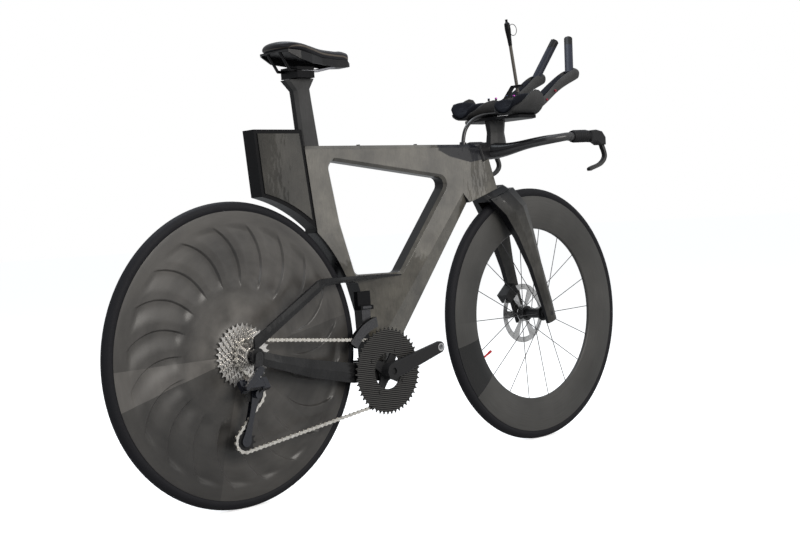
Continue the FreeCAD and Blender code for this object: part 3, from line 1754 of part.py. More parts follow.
def make_rails(hollow_roof):
    """Two rods that rise to the roof of the hollow at the tail and into the nose."""
    half = float(size.rail_length / 2)
    middle = float(saddle_x)
    rails = []
    tail_run_share = 0.65
    nose_run_share = 1.7
    nose_gather_share = 0.5
    nose_rise_share = 4
    for way in (RIGHT, LEFT):
        y = float(size.rail_spread) * way
        back = middle - half - half * tail_run_share
        front = middle + half + half * nose_run_share
        sink = float(size.rail_radius)
        back_top = V(back, y, height_over(hollow_roof, back))
        front_top = V(front, y * nose_gather_share, float(rail_z) + sink * nose_rise_share)
        rod = [solid(Part.makeSphere(sink, V(middle - half, y, float(rail_z)))),
               solid(Part.makeSphere(sink, V(middle + half, y, float(rail_z)))),
               rail_rod(size.rail_radius, y),
               bar(V(middle - half, y, float(rail_z)), back_top, size.rail_radius),
               bar(V(middle + half, y, float(rail_z)), front_top, size.rail_radius)]
        rails.append(joined_solid(rod))
    doc.recompute()
    shell = [item for item in pieces if item.Label == "saddle_shell"][0]
    cover = [item for item in pieces if item.Label == "saddle_cover"][0]
    piece("saddle_rails", group([cut(rail, shell, cover) for rail in rails]))


make_saddle()

# Fork with its steerer


def leg_section(along, back, front, inside, outside):
    """A six-sided leg section square to the steering axis, creased along its outer side."""
    slope_share = 0.3
    depth = front - back
    width = outside - inside
    return loop([steer_point(along, back, inside), steer_point(along, back, outside - width * slope_share),
                 steer_point(along, back + depth * slope_share, outside),
                 steer_point(along, front - depth * slope_share, outside),
                 steer_point(along, front, outside - width * slope_share), steer_point(along, front, inside)])


leg_shares = [
    # Height of the tyre's top; then, of the leg's outside, back and front from the axle, inside and outside
    (1.046, -1.20, 0.28, 0.29, 0.64),
    (0.890, -0.80, 0.55, 0.38, 0.92),
    (0.680, -0.52, 0.46, 0.54, 0.98),
    (0.415, -0.32, 0.33, 0.67, 1.00),
    (0.090, -0.28, 0.30, 0.78, 1.00),
]


def make_fork():
    outside = float(size.leg_outside)
    rake = float(size.fork_rake)
    wheel = float(size.wheel_radius)
    rows = []
    for along_share, back_share, front_share, inside_share, outside_share in leg_shares:
        rows.append((wheel * along_share, rake + outside * back_share, rake + outside * front_share,
                     outside * inside_share, outside * outside_share))
    tip_inside = float(size.front_width / 2)
    tip_share = 0.27
    rows.append((-float(size.leg_tip_drop), rake - outside * tip_share, rake + outside * tip_share,
                 tip_inside, outside))
    leg = solid(Part.makeLoft([leg_section(*row) for row in rows], True, True))
    top = float(size.head_bottom - size.running_gap)
    low = top - float(size.crown_height)
    first = rows[0]

    def crown_section(along, back, front, half):
        bevel_share = 0.35
        bevel = half * bevel_share
        return loop([steer_point(along, back, -half + bevel), steer_point(along, back, half - bevel),
                     steer_point(along, back + bevel, half), steer_point(along, front - bevel, half),
                     steer_point(along, front, half - bevel), steer_point(along, front, -half + bevel),
                     steer_point(along, front - bevel, -half), steer_point(along, back + bevel, -half)])

    crown = solid(Part.makeLoft([
        crown_section(top, -float(size.crown_back), float(size.crown_front), float(frame_half)),
        crown_section(low, first[1] + float(size.seat_gap), first[2] - float(size.seat_gap),
                      first[4] - float(size.seat_gap)),
    ], True, True))
    steerer = cylinder(size.steerer_radius, size.head_top - size.head_bottom + size.crown_height * 2,
                       steer_point(low + float(size.seat_gap), 0), steer_axis)
    whole = joined_solid([crown, leg, mirrored(leg), steerer])
    reach = size.leg_outside * 2 + size.overrun * 2
    bore = cylinder(size.axle_radius + axle_gap, reach, front_axle - ACROSS * float(reach / 2))
    room = cylinder(size.hub_end_radius + size.overrun, size.front_width,
                    front_axle - ACROSS * float(size.front_width / 2))
    hollow = cylinder(size.wheel_radius + size.tyre_gap / 2, size.tyre_width + size.tyre_gap,
                      front_axle - ACROSS * float(size.tyre_width / 2 + size.tyre_gap / 2))
    piece("fork", cut(whole, bore, room, hollow))


make_fork()
make_thru_axle("front_axle", front_axle, size.leg_outside)


def make_caliper(label, axle, rotor_radius, offset, angle, outside, keep_out):
    """A brake caliper astride its rotor, cut to the pieces that carry it."""
    low = float(rotor_radius - size.rotor_track - size.caliper_lip)
    high = float(rotor_radius + size.caliper_bridge)
    middle = around(axle, (low + high) / 2, angle)
    length = float(size.caliper_length)
    depth = high - low
    inside = float(offset) - float(size.caliper_inset)
    width = float(outside) - inside
    block = Part.makeBox(depth, width, length, V(-depth / 2, 0, -length / 2))
    block.rotate(V(0, 0, 0), ACROSS, -angle)
    block.translate(V(middle.x, inside, middle.z))
    slot = drill(rotor_radius + size.caliper_slot / 2, axle, offset - size.caliper_slot / 2,
                 size.caliper_slot)
    shape = block.cut(slot)
    for other in keep_out:
        shape = shape.cut(other)
    return piece(label, solid(max(shape.Solids, key=lambda part: part.Volume)))


doc.recompute()
fork_shape = [item for item in pieces if item.Label == "fork"][0].Shape
front_caliper_angle = 130
rear_caliper_angle = 15
make_caliper("front_caliper", front_axle, size.front_rotor_radius, size.front_rotor_offset,
             front_caliper_angle,
             size.leg_outside, [fork_shape])
make_caliper("rear_caliper", rear_axle, size.rear_rotor_radius, size.rear_rotor_offset, rear_caliper_angle,
             dropout_inside, left_stays)

# Base bar with its stem, grips, lever bodies and levers

wing_shares = [
    # Across, ahead and up from root to bend; then half chord, half thickness and turn of the section
    (0.00, 0.00, 0.00, 1.00, 1.00, 0.00),
    (0.22, 0.06, 0.00, 0.86, 0.82, 0.00),
    (0.52, 0.24, 0.36, 0.72, 0.58, 0.14),
    (0.80, 0.48, 0.72, 0.58, 0.54, 0.42),
    (0.96, 0.78, 0.93, 0.42, 0.49, 0.80),
    (1.00, 1.00, 1.00, 0.33, 0.47, 1.00),
]
wing_half_chord = size.column_length / 2
wing_half_thickness = size.bar_end_radius * 2
quarter_turn = math.pi / 2


def wing_section(side, row):
    across_share, ahead_share, up_share, chord_share, thick_share, turn_share = row
    x = float(size.bar_root_ahead) + float(size.bar_bend_ahead - size.bar_root_ahead) * ahead_share
    y = float(size.bar_half_width) * across_share
    z = float(size.bar_root_height) + float(size.bar_height - size.bar_root_height) * up_share
    chord = float(wing_half_chord) * chord_share
    thick = float(wing_half_thickness) * thick_share
    turn = quarter_turn * turn_share
    points = []
    count = 10
    for number in range(count):
        angle = 2 * math.pi * number / count
        reach = chord * math.cos(angle)
        points.append(V(x + reach * math.cos(turn), side * (y - reach * math.sin(turn)),
                        z + thick * math.sin(angle)))
    return curve(points)


bar_bend = at(size.bar_bend_ahead, size.bar_half_width, size.bar_height)
bar_direction = at(size.bar_end_length, size.bar_end_flare, size.bar_end_rise).normalize()


def bar_place(distance):
    """A point of the left bar end at a distance from the bend."""
    return bar_bend + bar_direction * float(distance)


def stem_block():
    """The flat-sided stem under the arm rest column, in front of the steering axis."""
    top = float(size.top_tube_height)
    floor = size.head_top + size.stem_gap
    back_low = steer_point(floor, 0)
    front_low = steer_point(floor, size.head_front)
    nose = float(size.stem_nose)
    under = float(size.stem_underside)
    half = float(size.stem_radius)
    tip_share = 0.6
    corners = [V(float(steer_x(size.top_tube_height)), 0, top), back_low, front_low,
               V(front_low.x + (nose - front_low.x) * tip_share, 0,
                 under + (top - under) * (1 - tip_share) / 2),
               V(nose, 0, under + (top - under) * tip_share), V(nose, 0, top)]
    return solid(plate(loop(corners), -half, half * 2))


def make_base_bar():
    sections = [wing_section(RIGHT, row) for row in wing_shares[:0:-1]]
    sections += [wing_section(LEFT, row) for row in wing_shares]
    wing = solid(Part.makeLoft(sections, True, False))
    ends = []
    for side in (RIGHT, LEFT):
        begin = bar_place(-size.grip_rib_width)
        start = V(begin.x, side * begin.y, begin.z)
        finish = bar_place(size.bar_end_length)
        ends.append(bar(start, V(finish.x, side * finish.y, finish.z), size.bar_end_radius))
    post = cylinder(size.stem_radius,
                    (size.top_tube_height - steer_foot_z) / steer_cosine - size.head_top - size.stem_gap,
                    steer_point(size.head_top + size.stem_gap, 0), steer_axis)
    whole = joined_solid([stem_block(), post, wing] + ends)
    bore = cylinder(size.steerer_radius + size.seat_gap, size.head_top - size.head_bottom + size.crown_height,
                    steer_point(size.head_bottom, 0), steer_axis)
    flat = box(size.wheelbase, size.frame_width, size.wheel_radius,
               at(0, -size.frame_width / 2, size.top_tube_height))
    piece("base_bar", cut(whole, bore, flat))


make_base_bar()
grip_start = size.grip_rib_step


def make_grips():
    inner = size.bar_end_radius + size.seat_gap
    half = size.grip_rib_width / 2
    corners = [(inner, grip_start), (size.grip_radius, grip_start)]
    ribs = 6
    for number in range(ribs):
        middle = grip_start + size.grip_rib_step * (number + 1)
        corners += [(size.grip_radius, middle - half), (size.grip_rib_radius, middle - half / 2),
                    (size.grip_rib_radius, middle + half / 2), (size.grip_radius, middle + half)]
    end = grip_start + size.grip_length
    corners += [(size.grip_radius, end), (inner, end)]
    grip = turned(corners, bar_bend, bar_direction)
    piece("bar_grips", group([grip, mirrored(grip)]))


make_grips()
hood_start = grip_start + size.grip_length + size.running_gap * 2
hood_origin = bar_place(hood_start)
lever_pivot_x = hood_origin.x + float(size.hood_length - size.lever_eye_radius)
lever_pivot_z = hood_origin.z - float(size.hood_drop) + float(size.lever_eye_radius)
lever_y = bar_place(hood_start + size.hood_length).y
lever_pivot = V(lever_pivot_x, 0, lever_pivot_z)


def make_lever_bodies():
    length = float(size.hood_length)
    high = float(size.hood_height)
    low_z = hood_origin.z - float(size.hood_drop)
    x = hood_origin.x
    shares = [(0.0, 0.22), (0.0, 0.98), (0.35, 1.04), (0.78, 0.92), (1.0, 0.55), (1.0, 0.0), (0.62, 0.0),
              (0.35, 0.2)]
    outline = loop([V(x + length * x_share, 0, low_z + high * z_share) for x_share, z_share in shares])
    half = float(size.hood_width / 2)
    block = plate(outline, lever_y - half, half * 2)
    bevel_share = 0.22
    side_edges = [edge for edge in block.Edges
                  if abs(edge.Vertexes[0].Point.y - edge.Vertexes[-1].Point.y) < float(size.seat_gap)]
    block = block.makeChamfer(half * bevel_share, side_edges)
    start = bar_place(0)
    socket = Part.makeCylinder(float(size.bar_end_radius + size.seat_gap),
                               float(size.bar_end_length + size.seat_gap),
                               start, bar_direction)
    slot_half = float(size.lever_width / 2 + size.running_gap)
    back_share = 0.6
    slot = Part.makeBox(length, slot_half * 2,
                        float(size.lever_eye_radius * 2 + size.overrun + size.running_gap),
                        V(x + length * back_share, lever_y - slot_half, low_z - float(size.overrun)))
    body = block.cut(socket).cut(slot)
    pin = drill(size.lever_pin_radius, lever_pivot, lever_y - half, half * 2)
    body = solid(body.fuse(pin).removeSplitter())
    piece("lever_bodies", group([body, mirrored(body)]))


make_lever_bodies()


def lever_shape():
    """A lever blade in side view: from its pivot down, round a knee, and back to the tip."""
    thick = float(size.lever_thickness) / 2
    eye = float(size.lever_eye_radius)
    reach = float(size.lever_reach)
    drop = float(size.lever_drop)
    y = lever_y - float(size.lever_width / 2)
    middle_shares = [(0.0, 0.0), (0.16, -0.30), (0.22, -0.52), (0.04, -0.72), (-0.40, -0.88), (-0.95, -1.0)]
    middles = [lever_pivot + V(reach * x_share, 0, drop * z_share) for x_share, z_share in middle_shares]
    front = []
    back = []
    for number, place in enumerate(middles):
        before = middles[max(number - 1, 0)]
        after = middles[min(number + 1, len(middles) - 1)]
        run = (after - before).normalize()
        normal = V(-run.z, 0, run.x)
        front.append(place + normal * thick)
        back.append(place - normal * thick)
    front_line = Part.BSplineCurve()
    front_line.interpolate(front)
    back_line = Part.BSplineCurve()
    back_line.interpolate(back[::-1])
    tip = middles[-1] + (middles[-1] - middles[-2]).normalize() * thick
    edges = [front_line.toShape(), Part.Arc(front[-1], tip, back[-1]).toShape(), back_line.toShape(),
             Part.LineSegment(back[0], front[0]).toShape()]
    blade = plate(Part.Wire(edges), y, size.lever_width)
    blade = blade.fuse(drill(eye, lever_pivot, y, size.lever_width)).removeSplitter()
    return blade.cut(drill(size.lever_pin_radius + size.seat_gap, lever_pivot, y, size.lever_width))


left_lever = piece("left_brake_lever", solid(lever_shape()))
piece("right_brake_lever", mirrored(left_lever))

# Arm rest column, bridge, cups, pads and extensions


def make_column():
    def section(z, length_share, width_share):
        length = float(size.column_length) * length_share
        half = float(size.column_width / 2) * width_share
        x = float(size.column_back) + (float(size.column_length) - length) / 2
        tail_share = 0.45
        nose_share = 0.3
        return loop([V(x, -half * tail_share, z), V(x, half * tail_share, z),
                     V(x + length * nose_share, half, z),
                     V(x + length - half, half, z), V(x + length, half * tail_share, z),
                     V(x + length, -half * tail_share, z), V(x + length - half, -half, z),
                     V(x + length * nose_share, -half, z)])
    floor = float(size.top_tube_height)
    top = float(size.bridge_height)
    waist_share = 0.86
    wires = [section(floor, 1, 1), section((floor + top) / 2, waist_share, waist_share), section(top, 1, 1)]
    piece("riser_column", solid(Part.makeLoft(wires, True, True)))


make_column()
bridge_top = size.bridge_height + size.bridge_thickness


def make_bridge():
    half = float(size.bridge_half_width)
    back = float(size.bridge_back)
    length = float(size.bridge_length)
    shares = [(0.0, -0.45), (0.0, 0.45), (0.25, 1.0), (0.85, 1.0), (1.0, 0.7), (1.0, -0.7), (0.85, -1.0),
              (0.25, -1.0)]
    points = [V(back + length * x_share, half * y_share, float(size.bridge_height)) for x_share,
              y_share in shares]
    shape = Part.Face(loop(points)).extrude(UP * float(size.bridge_thickness))
    piece("riser_bridge", solid(shape))


make_bridge()
cup_centre_z = bridge_top + size.arm_cup_radius + size.arm_cup_wall


def cup_arc(radius, x, start, end):
    """An arc of the left cup's section across X; angles run from straight down, outwards positive."""
    centre = V(x, float(size.cup_spread), float(cup_centre_z))

    def place(angle):
        turn = math.radians(angle)
        return centre + V(0, radius * math.sin(turn), -radius * math.cos(turn))
    return [place(start), place((start + end) / 2), place(end)]


def trough(x, inner, outer, start, end):
    """A closed section between two radii of the cup and two angles."""
    low = cup_arc(outer, x, start, end)
    high = cup_arc(inner, x, end, start)
    return path_of([tuple(low), (low[2], high[0]), tuple(high), (high[2], low[0])])


def make_cups_and_pads():
    inner = float(size.arm_cup_radius)
    outer = inner + float(size.arm_cup_wall)
    back = float(size.arm_cup_back)
    length = float(size.arm_cup_length)
    start = -float(size.arm_cup_inner_angle)
    end = float(size.arm_cup_outer_angle)
    rows = [(0.0, 0.42, 0.38), (0.03, 0.50, 0.46), (0.20, 0.70, 0.60), (0.40, 0.88, 0.80),
            (0.58, 0.96, 0.94), (0.72, 1.0, 1.0), (0.84, 1.0, 0.98), (0.93, 0.96, 0.88), (0.98, 0.90, 0.74),
            (1.0, 0.84, 0.62)]
    wires = [trough(back + length * x_share, inner, outer, start * in_share, end * out_share)
             for x_share, in_share, out_share in rows]
    cup_shape = Part.makeLoft(wires, True, True)
    cup = solid(cup_shape)
    piece("arm_cups", group([cup, mirrored(cup)]))
    pad_rows = [(0.0, 0.70, 0.55), (0.1, 1.15, 0.82), (0.45, 1.15, 0.90), (0.8, 0.85, 0.88), (1.0, 0.6, 0.66)]
    crown = float(size.arm_pad_crown)
    thickness = float(size.arm_pad_thickness)
    pad_length = float(size.arm_pad_length)
    pad_outer = inner - float(size.seat_gap)
    wires = []
    for x_share, thick_share, angle_share in pad_rows:
        x = back + length - pad_length * (1 - x_share)
        low = cup_arc(pad_outer, x, start * angle_share, end * angle_share)
        rim = cup_arc(pad_outer - thickness * thick_share, x, end * angle_share, start * angle_share)
        middle = cup_arc(pad_outer - thickness * thick_share - crown, x, end * angle_share,
                         start * angle_share)[1]
        side_share = 0.5
        outer_side = (low[2] + rim[0]) * side_share + V(0, crown * side_share, crown * side_share)
        inner_side = (low[0] + rim[2]) * side_share + V(0, -crown * side_share, crown * side_share)
        wires.append(path_of([tuple(low), (low[2], outer_side, rim[0]), (rim[0], middle, rim[2]),
                              (rim[2], inner_side, low[0])]))
    inside = Part.makeCylinder(pad_outer, pad_length * 2,
                               V(back - pad_length, float(size.cup_spread), float(cup_centre_z)),
                               AHEAD)
    pad_shape = Part.makeLoft(wires, True, False).common(inside).cut(cup_shape)
    pad = solid(max(pad_shape.Solids, key=lambda part: part.Volume))
    lining = solid(extension_lining)
    piece("arm_pads", group([pad, mirrored(pad), lining, mirrored(lining)]))
    return cup_shape


extension_rows = [
    # From cup to tip: ahead, across, up; then width and height, all shares
    (0.00, 0.00, 0.00, 1.15, 0.85),
    (0.22, 0.60, 0.20, 1.08, 0.95),
    (0.45, 1.20, 0.47, 1.00, 1.05),
    (0.70, 1.12, 0.80, 0.90, 1.15),
    (0.88, 1.00, 0.96, 0.80, 1.10),
    (1.00, 1.00, 1.00, 0.56, 0.76),
]
extension_foot = at(size.arm_cup_back + size.arm_cup_length + size.running_gap, size.cup_spread,
                    bridge_top + size.arm_cup_wall + size.extension_height / 2)
extension_tip = at(size.extension_tip_ahead, size.extension_tip_spread, size.extension_tip_height)


def extension_loft(rows, width_share, lift_share):
    """A smooth bar along the extension, made narrower or lifted by shares of its own section."""
    run = extension_tip - extension_foot
    wires = []
    count = 8
    for ahead_share, across_share, up_share, wide_share, tall_share in rows:
        middle = extension_foot + V(run.x * ahead_share, run.y * across_share, run.z * up_share)
        half_width = float(size.extension_width / 2) * wide_share * width_share
        half_height = float(size.extension_height / 2) * tall_share
        middle = middle + UP * half_height * lift_share
        points = []
        for number in range(count):
            angle = 2 * math.pi * number / count
            points.append(middle + V(0, half_width * math.cos(angle), half_height * math.sin(angle)))
        wires.append(curve(points))
    return Part.makeLoft(wires, True, False)


def make_extensions():
    """Hollowed bars that carry a thin foam lining in their upper side."""
    groove_share = 0.74
    groove_lift_share = 0.72
    lining_share = 0.66
    lining_lift_share = 0.82
    top_lift_share = 1.1
    groove_rows = extension_rows[:5]
    shape = extension_loft(extension_rows, 1, 0)
    shape = shape.cut(extension_loft(groove_rows, groove_share, groove_lift_share))
    lining_rows = groove_rows[:4]
    lining = extension_loft(lining_rows, lining_share, lining_lift_share)
    lining = lining.cut(extension_loft(lining_rows, groove_share, top_lift_share))
    extension = solid(shape)
    piece("extensions", group([extension, mirrored(extension)]))
    return shape, lining


extension_shape, extension_lining = make_extensions()
cup_form = make_cups_and_pads()
post_grip_top = at(size.post_grip_top_ahead, size.post_grip_top_spread, size.post_grip_top_height)
post_foot_share = 0.86


def make_grip_posts():
    run = extension_tip - extension_foot
    foot = extension_foot + V(run.x * post_foot_share, run.y, run.z)
    axis = (post_grip_top - foot).normalize()
    length = (post_grip_top - foot).Length
    rod = Part.makeCylinder(float(size.post_grip_radius), length, foot, axis).cut(extension_shape)
    rod = max(rod.Solids, key=lambda part: part.CenterOfMass.z)
    depth = float(size.button_height - size.button_proud + size.button_travel + size.running_gap)
    pocket = Part.makeCylinder(float(size.button_radius + size.running_gap), depth + float(size.overrun),
                               post_grip_top - axis * depth, axis)
    post = solid(rod.cut(pocket))
    piece("grip_posts", group([post, mirrored(post)]))
    seat = post_grip_top - axis * float(size.button_height - size.button_proud)
    button = piece("left_shift_button", cylinder(size.button_radius, size.button_height, seat, axis))
    piece("right_shift_button", mirrored(button))
    return axis


post_axis = make_grip_posts()


def make_cockpit_bolts():
    """Round bolt heads: two a side on the cup's inner rim, two a side on the extension's flanks."""
    bolts = []
    depth_share = 2.5
    rim = float(size.arm_cup_radius + size.arm_cup_wall / 2)
    for x_share, angle_share in ((0.58, 0.96), (0.84, 1.0)):
        x = float(size.arm_cup_back) + float(size.arm_cup_length) * x_share
        edge = cup_arc(rim, x, -float(size.arm_cup_inner_angle) * angle_share, 0)[0]
        foot = edge + UP * float(size.running_gap)
        head = Part.makeCylinder(float(size.cockpit_bolt_radius), float(size.cockpit_bolt_head) * 2, foot, UP)
        above = head.cut(cup_form)
        bolt = solid(max(above.Solids, key=lambda part: part.CenterOfMass.z))
        bolts += [bolt, mirrored(bolt)]
    run = extension_tip - extension_foot
    flank = float(size.extension_width / 2)
    for ahead_share, across_share, up_share in ((0.22, 0.60, 0.20), (0.45, 1.20, 0.47)):
        middle = extension_foot + V(run.x * ahead_share, run.y * across_share, run.z * up_share)
        for way in (LEFT, RIGHT):
            start = middle + ACROSS * way * (flank - float(size.cockpit_bolt_head))
            head = Part.makeCylinder(float(size.cockpit_bolt_radius),
                                     float(size.cockpit_bolt_head) * depth_share, start,
                                     ACROSS * way)
            outside = head.cut(extension_shape)
            bolt = solid(max(outside.Solids, key=lambda part: way * part.CenterOfMass.y))
            bolts += [bolt, mirrored(bolt)]
    piece("cockpit_bolts", group(bolts))


make_cockpit_bolts()

# Drinking hose, straw and bite valve


def rounded_path(points):
    """Straight runs joined by arcs as large as the runs allow; gives the edges and the radii."""
    edges = []
    radii = []
    start = points[0]
    reach_share = 0.45
    for before, corner, after in zip(points, points[1:], points[2:]):
        inward = (corner - before).normalize()
        outward = (after - corner).normalize()
        turn = inward.getAngle(outward)
        reach = reach_share * min((corner - before).Length, (after - corner).Length)
        radius = reach / math.tan(turn / 2)
        first = corner - inward * reach
        last = corner + outward * reach
        towards = (outward - inward).normalize()
        middle = corner + towards * (radius / math.cos(turn / 2) - radius)
        edges += [Part.LineSegment(start, first).toShape(), Part.Arc(first, middle, last).toShape()]
        radii.append(round(radius, 1))
        start = last
    edges.append(Part.LineSegment(start, points[-1]).toShape())
    return Part.Wire(edges), radii


def make_hose():
    path, radii = rounded_path(hose_route)
    first = hose_route[1] - hose_route[0]
    ring = Part.Wire(Part.makeCircle(float(size.hose_radius), hose_route[0], first))
    hose = path.makePipeShell([ring], True, True)
    print("hose radii", radii, "length", round(path.Length, 1),
          "volume over section", round(hose.Volume / (math.pi * float(size.hose_radius) ** 2), 1))
    piece("drink_hose", solid(hose))


make_hose()


def make_straw():
    piece("drink_straw", bar(straw_foot, straw_top, size.straw_radius))
    shares = [(0.62, 0.0), (0.75, 0.28), (1.0, 0.62), (0.92, 0.84), (0.42, 0.90), (0.42, 1.0)]
    corners = [(size.valve_body_radius * 0, size.valve_body_length * 0)]
    corners += [(size.valve_body_radius * out_share, size.valve_body_length * up_share) for out_share,
                up_share in shares]
    corners.append((size.valve_body_radius * 0, size.valve_body_length))
    valve = turned(corners, straw_top, straw_axis)
    loop_share = 0.62
    middle = straw_top + straw_axis * float(size.valve_body_length) * loop_share
    side = AHEAD * float(size.valve_body_radius * loop_share + size.wire_loop_radius)
    wire = Part.makeTorus(float(size.wire_loop_radius), float(size.wire_radius), middle + side, ACROSS)
    doc.recompute()
    piece("bite_valve", group([valve, solid(wire.cut(valve.Shape))]))


make_straw()


def make_straw_holder():
    """A bent strap from the left extension with a hole for the straw."""
    thick = float(size.holder_thickness)
    depth = float(size.holder_depth)
    top = straw_foot + straw_axis * thick * 2
    foot_z = float(bridge_top + size.extension_height)
    reach = float(size.cup_spread) - float(size.extension_width) / 4
    shoulder = float(size.holder_shoulder)
    x = top.x - depth / 2
    outer = [V(x, -shoulder, top.z + thick), V(x, shoulder, top.z + thick), V(x, reach, foot_z)]
    inner = [V(x, point.y, point.z - thick) for point in outer[::-1]]
    strap = Part.Face(loop(outer + inner)).extrude(AHEAD * depth)
    hole = Part.makeCylinder(float(size.straw_radius + size.seat_gap), thick * 6, straw_foot, straw_axis)
    strap = strap.cut(hole)
    for shape in (extension_shape, extension_lining):
        strap = strap.cut(shape).cut(shape.mirror(V(0, 0, 0), ACROSS))
    middle = max(strap.Solids, key=lambda part: part.Volume)
    piece("straw_holder", solid(middle))


make_straw_holder()

# Front derailleur

shifter_right = -(frame_half + size.seat_gap)
shifter_pin_y = -(size.chain_line - size.cage_side)
shifter_floor = size.shifter_height - size.shifter_tall / 2
shifter_pin_z = shifter_floor + size.shifter_barrel_radius + size.running_gap


def make_front_derailleur():
    depth = size.shifter_depth
    block = box(size.shifter_length, depth, size.shifter_tall,
                at(-size.shifter_back, shifter_right - depth, shifter_floor))
    pin_start = at(-size.shifter_back, shifter_pin_y, shifter_pin_z)
    pin = cylinder(size.shifter_pin_radius, size.shifter_length, pin_start, AHEAD)
    lugs = []
    inner_face = shifter_right - depth / 2
    for x in (-size.shifter_back, -size.shifter_back + size.shifter_length - size.shifter_lug):
        start = at(x, shifter_pin_y - size.shifter_barrel_radius, shifter_pin_z - size.shifter_barrel_radius)
        width = inner_face - (shifter_pin_y - size.shifter_barrel_radius)
        lugs.append(box(size.shifter_lug, width, size.shifter_barrel_radius * 2, start))
    room = size.shifter_barrel_radius + size.running_gap
    length = size.shifter_length - size.shifter_lug * 2
    hollow = cylinder(room, length, pin_start + AHEAD * float(size.shifter_lug), AHEAD)
    piece("front_derailleur_body", joined_solid([cut(joined_solid([block] + lugs), hollow), pin]))
    make_front_cage(pin_start, length)


def make_front_cage(pin_start, length):
    thick = float(size.shifter_plate)
    side = float(size.cage_side)
    line = float(size.chain_line)
    start = float(size.shifter_cage_start)
    end = float(size.shifter_cage_end)
    wire = sector(bracket, size.shifter_cage_inner, size.shifter_cage_outer, start, end)
    outer_y = -line - side - thick
    inner_y = -line + side
    shape = plate(wire, outer_y, thick)
    shape = shape.fuse(plate(wire, inner_y, thick))
    bridge_angle = 4
    bridge_share = 0.25
    deep = (float(size.shifter_cage_outer) - float(size.shifter_cage_inner)) * bridge_share
    top = sector(bracket, float(size.shifter_cage_outer) - deep, size.shifter_cage_outer, start,
                 start + bridge_angle)
    tail = sector(bracket, size.shifter_cage_inner, float(size.shifter_cage_inner) + deep,
                  end - bridge_angle, end)
    for wall in (top, tail):
        shape = shape.fuse(plate(wall, outer_y, inner_y + thick - outer_y))
    gap = float(size.running_gap)
    barrel_start = pin_start + AHEAD * (float(size.shifter_lug) + gap)
    barrel_length = float(length) - 2 * gap
    barrel = Part.makeCylinder(float(size.shifter_barrel_radius), barrel_length, barrel_start, AHEAD)
    arm_low = around(bracket, size.shifter_cage_outer, (start + end) / 2).z
    arm = Part.makeBox(barrel_length, thick, pin_start.z - arm_low, V(barrel_start.x, inner_y, arm_low))
    bore = Part.makeCylinder(float(size.shifter_pin_radius + size.seat_gap), barrel_length, barrel_start,
                             AHEAD)
    shape = shape.fuse(arm).fuse(barrel).cut(bore).removeSplitter()
    piece("front_derailleur_cage", solid(shape))


make_front_derailleur()

# Rear derailleur

link_axis = at(0, sine(size.slant), cosine(size.slant))
link_start = at(rear_axle.x - float(size.link_back), -size.link_side, rear_axle.z - float(size.link_drop))
link_end = link_start + AHEAD * float(size.link_length)
link_half = size.link_tall / 2


def link_bracket(place, way):
    """A C-shaped bracket round one end of the link with its pin; gives the middle of its wall too."""
    radius = float(size.link_thickness / 2)
    reach = float(link_half + size.running_gap)
    half = reach + float(size.link_ear)
    back = radius + float(size.running_gap + size.link_wall)
    side = link_axis.cross(AHEAD)
    low = place - link_axis * half
    corners = [
        (low - side * radius, low - AHEAD * way * radius, low + side * radius),
        (low + side * radius, low + AHEAD * way * back + side * radius),
        (low + AHEAD * way * back + side * radius, low + AHEAD * way * back - side * radius),
        (low + AHEAD * way * back - side * radius, low - side * radius),
    ]
    bracket_shape = Part.Face(path_of(corners)).extrude(link_axis * half * 2)
    slot = Part.makeCylinder(radius + float(size.running_gap), reach * 2, place - link_axis * reach,
                             link_axis)
    pin = Part.makeCylinder(float(size.link_pin_radius), half * 2, low, link_axis)
    wall = place + AHEAD * way * (back - float(size.link_wall) / 2)
    return solid(bracket_shape.cut(slot).fuse(pin).removeSplitter()), wall


def make_link_body():
    half = float(size.link_thickness / 2)
    along = float(size.link_length)
    side = link_axis.cross(AHEAD)
    low = link_start - link_axis * float(link_half)
    corners = [
        (low + side * half, low + AHEAD * along + side * half),
        (low + AHEAD * along + side * half, low + AHEAD * (along + half), low + AHEAD * along - side * half),
        (low + AHEAD * along - side * half, low - side * half),
        (low - side * half, low - AHEAD * half, low + side * half),
    ]
    shape = Part.Face(path_of(corners)).extrude(link_axis * float(size.link_tall))
    for place in (link_start, link_end):
        hole = Part.makeCylinder(float(size.link_pin_radius + size.seat_gap),
                                 float(size.link_tall + size.overrun * 2),
                                 place - link_axis * float(link_half + size.overrun), link_axis)
        shape = shape.cut(hole)
    piece("derailleur_link", solid(shape))


def make_knuckle():
    holder, wall = link_bracket(link_start, -1)
    parts = [holder]
    outside = hanger_y - size.knuckle_radius
    bolt = cylinder(size.hanger_bolt_radius, size.hanger_thickness + size.knuckle_radius,
                    hanger_eye + ACROSS * float(outside))
    head = cylinder(size.knuckle_radius, size.knuckle_radius - size.seat_gap,
                    hanger_eye + ACROSS * float(outside))
    post_place = V(wall.x, 0, wall.z)
    strap = strap_wire(hanger_eye, post_place, size.knuckle_radius + size.seat_gap, size.knuckle_arm_radius)
    arm_thickness = size.knuckle_radius - size.link_ear / 2
    arm = solid(plate(strap, outside - size.seat_gap, arm_thickness))
    post_length = wall.y - float(outside)
    post = solid(drill(size.link_wall / 2 - size.seat_gap, post_place, outside, post_length))
    parts += [bolt, head, arm, post]
    piece("derailleur_knuckle", joined_solid(parts))


plate_outside = size.chain_line + size.cage_side + size.cage_plate


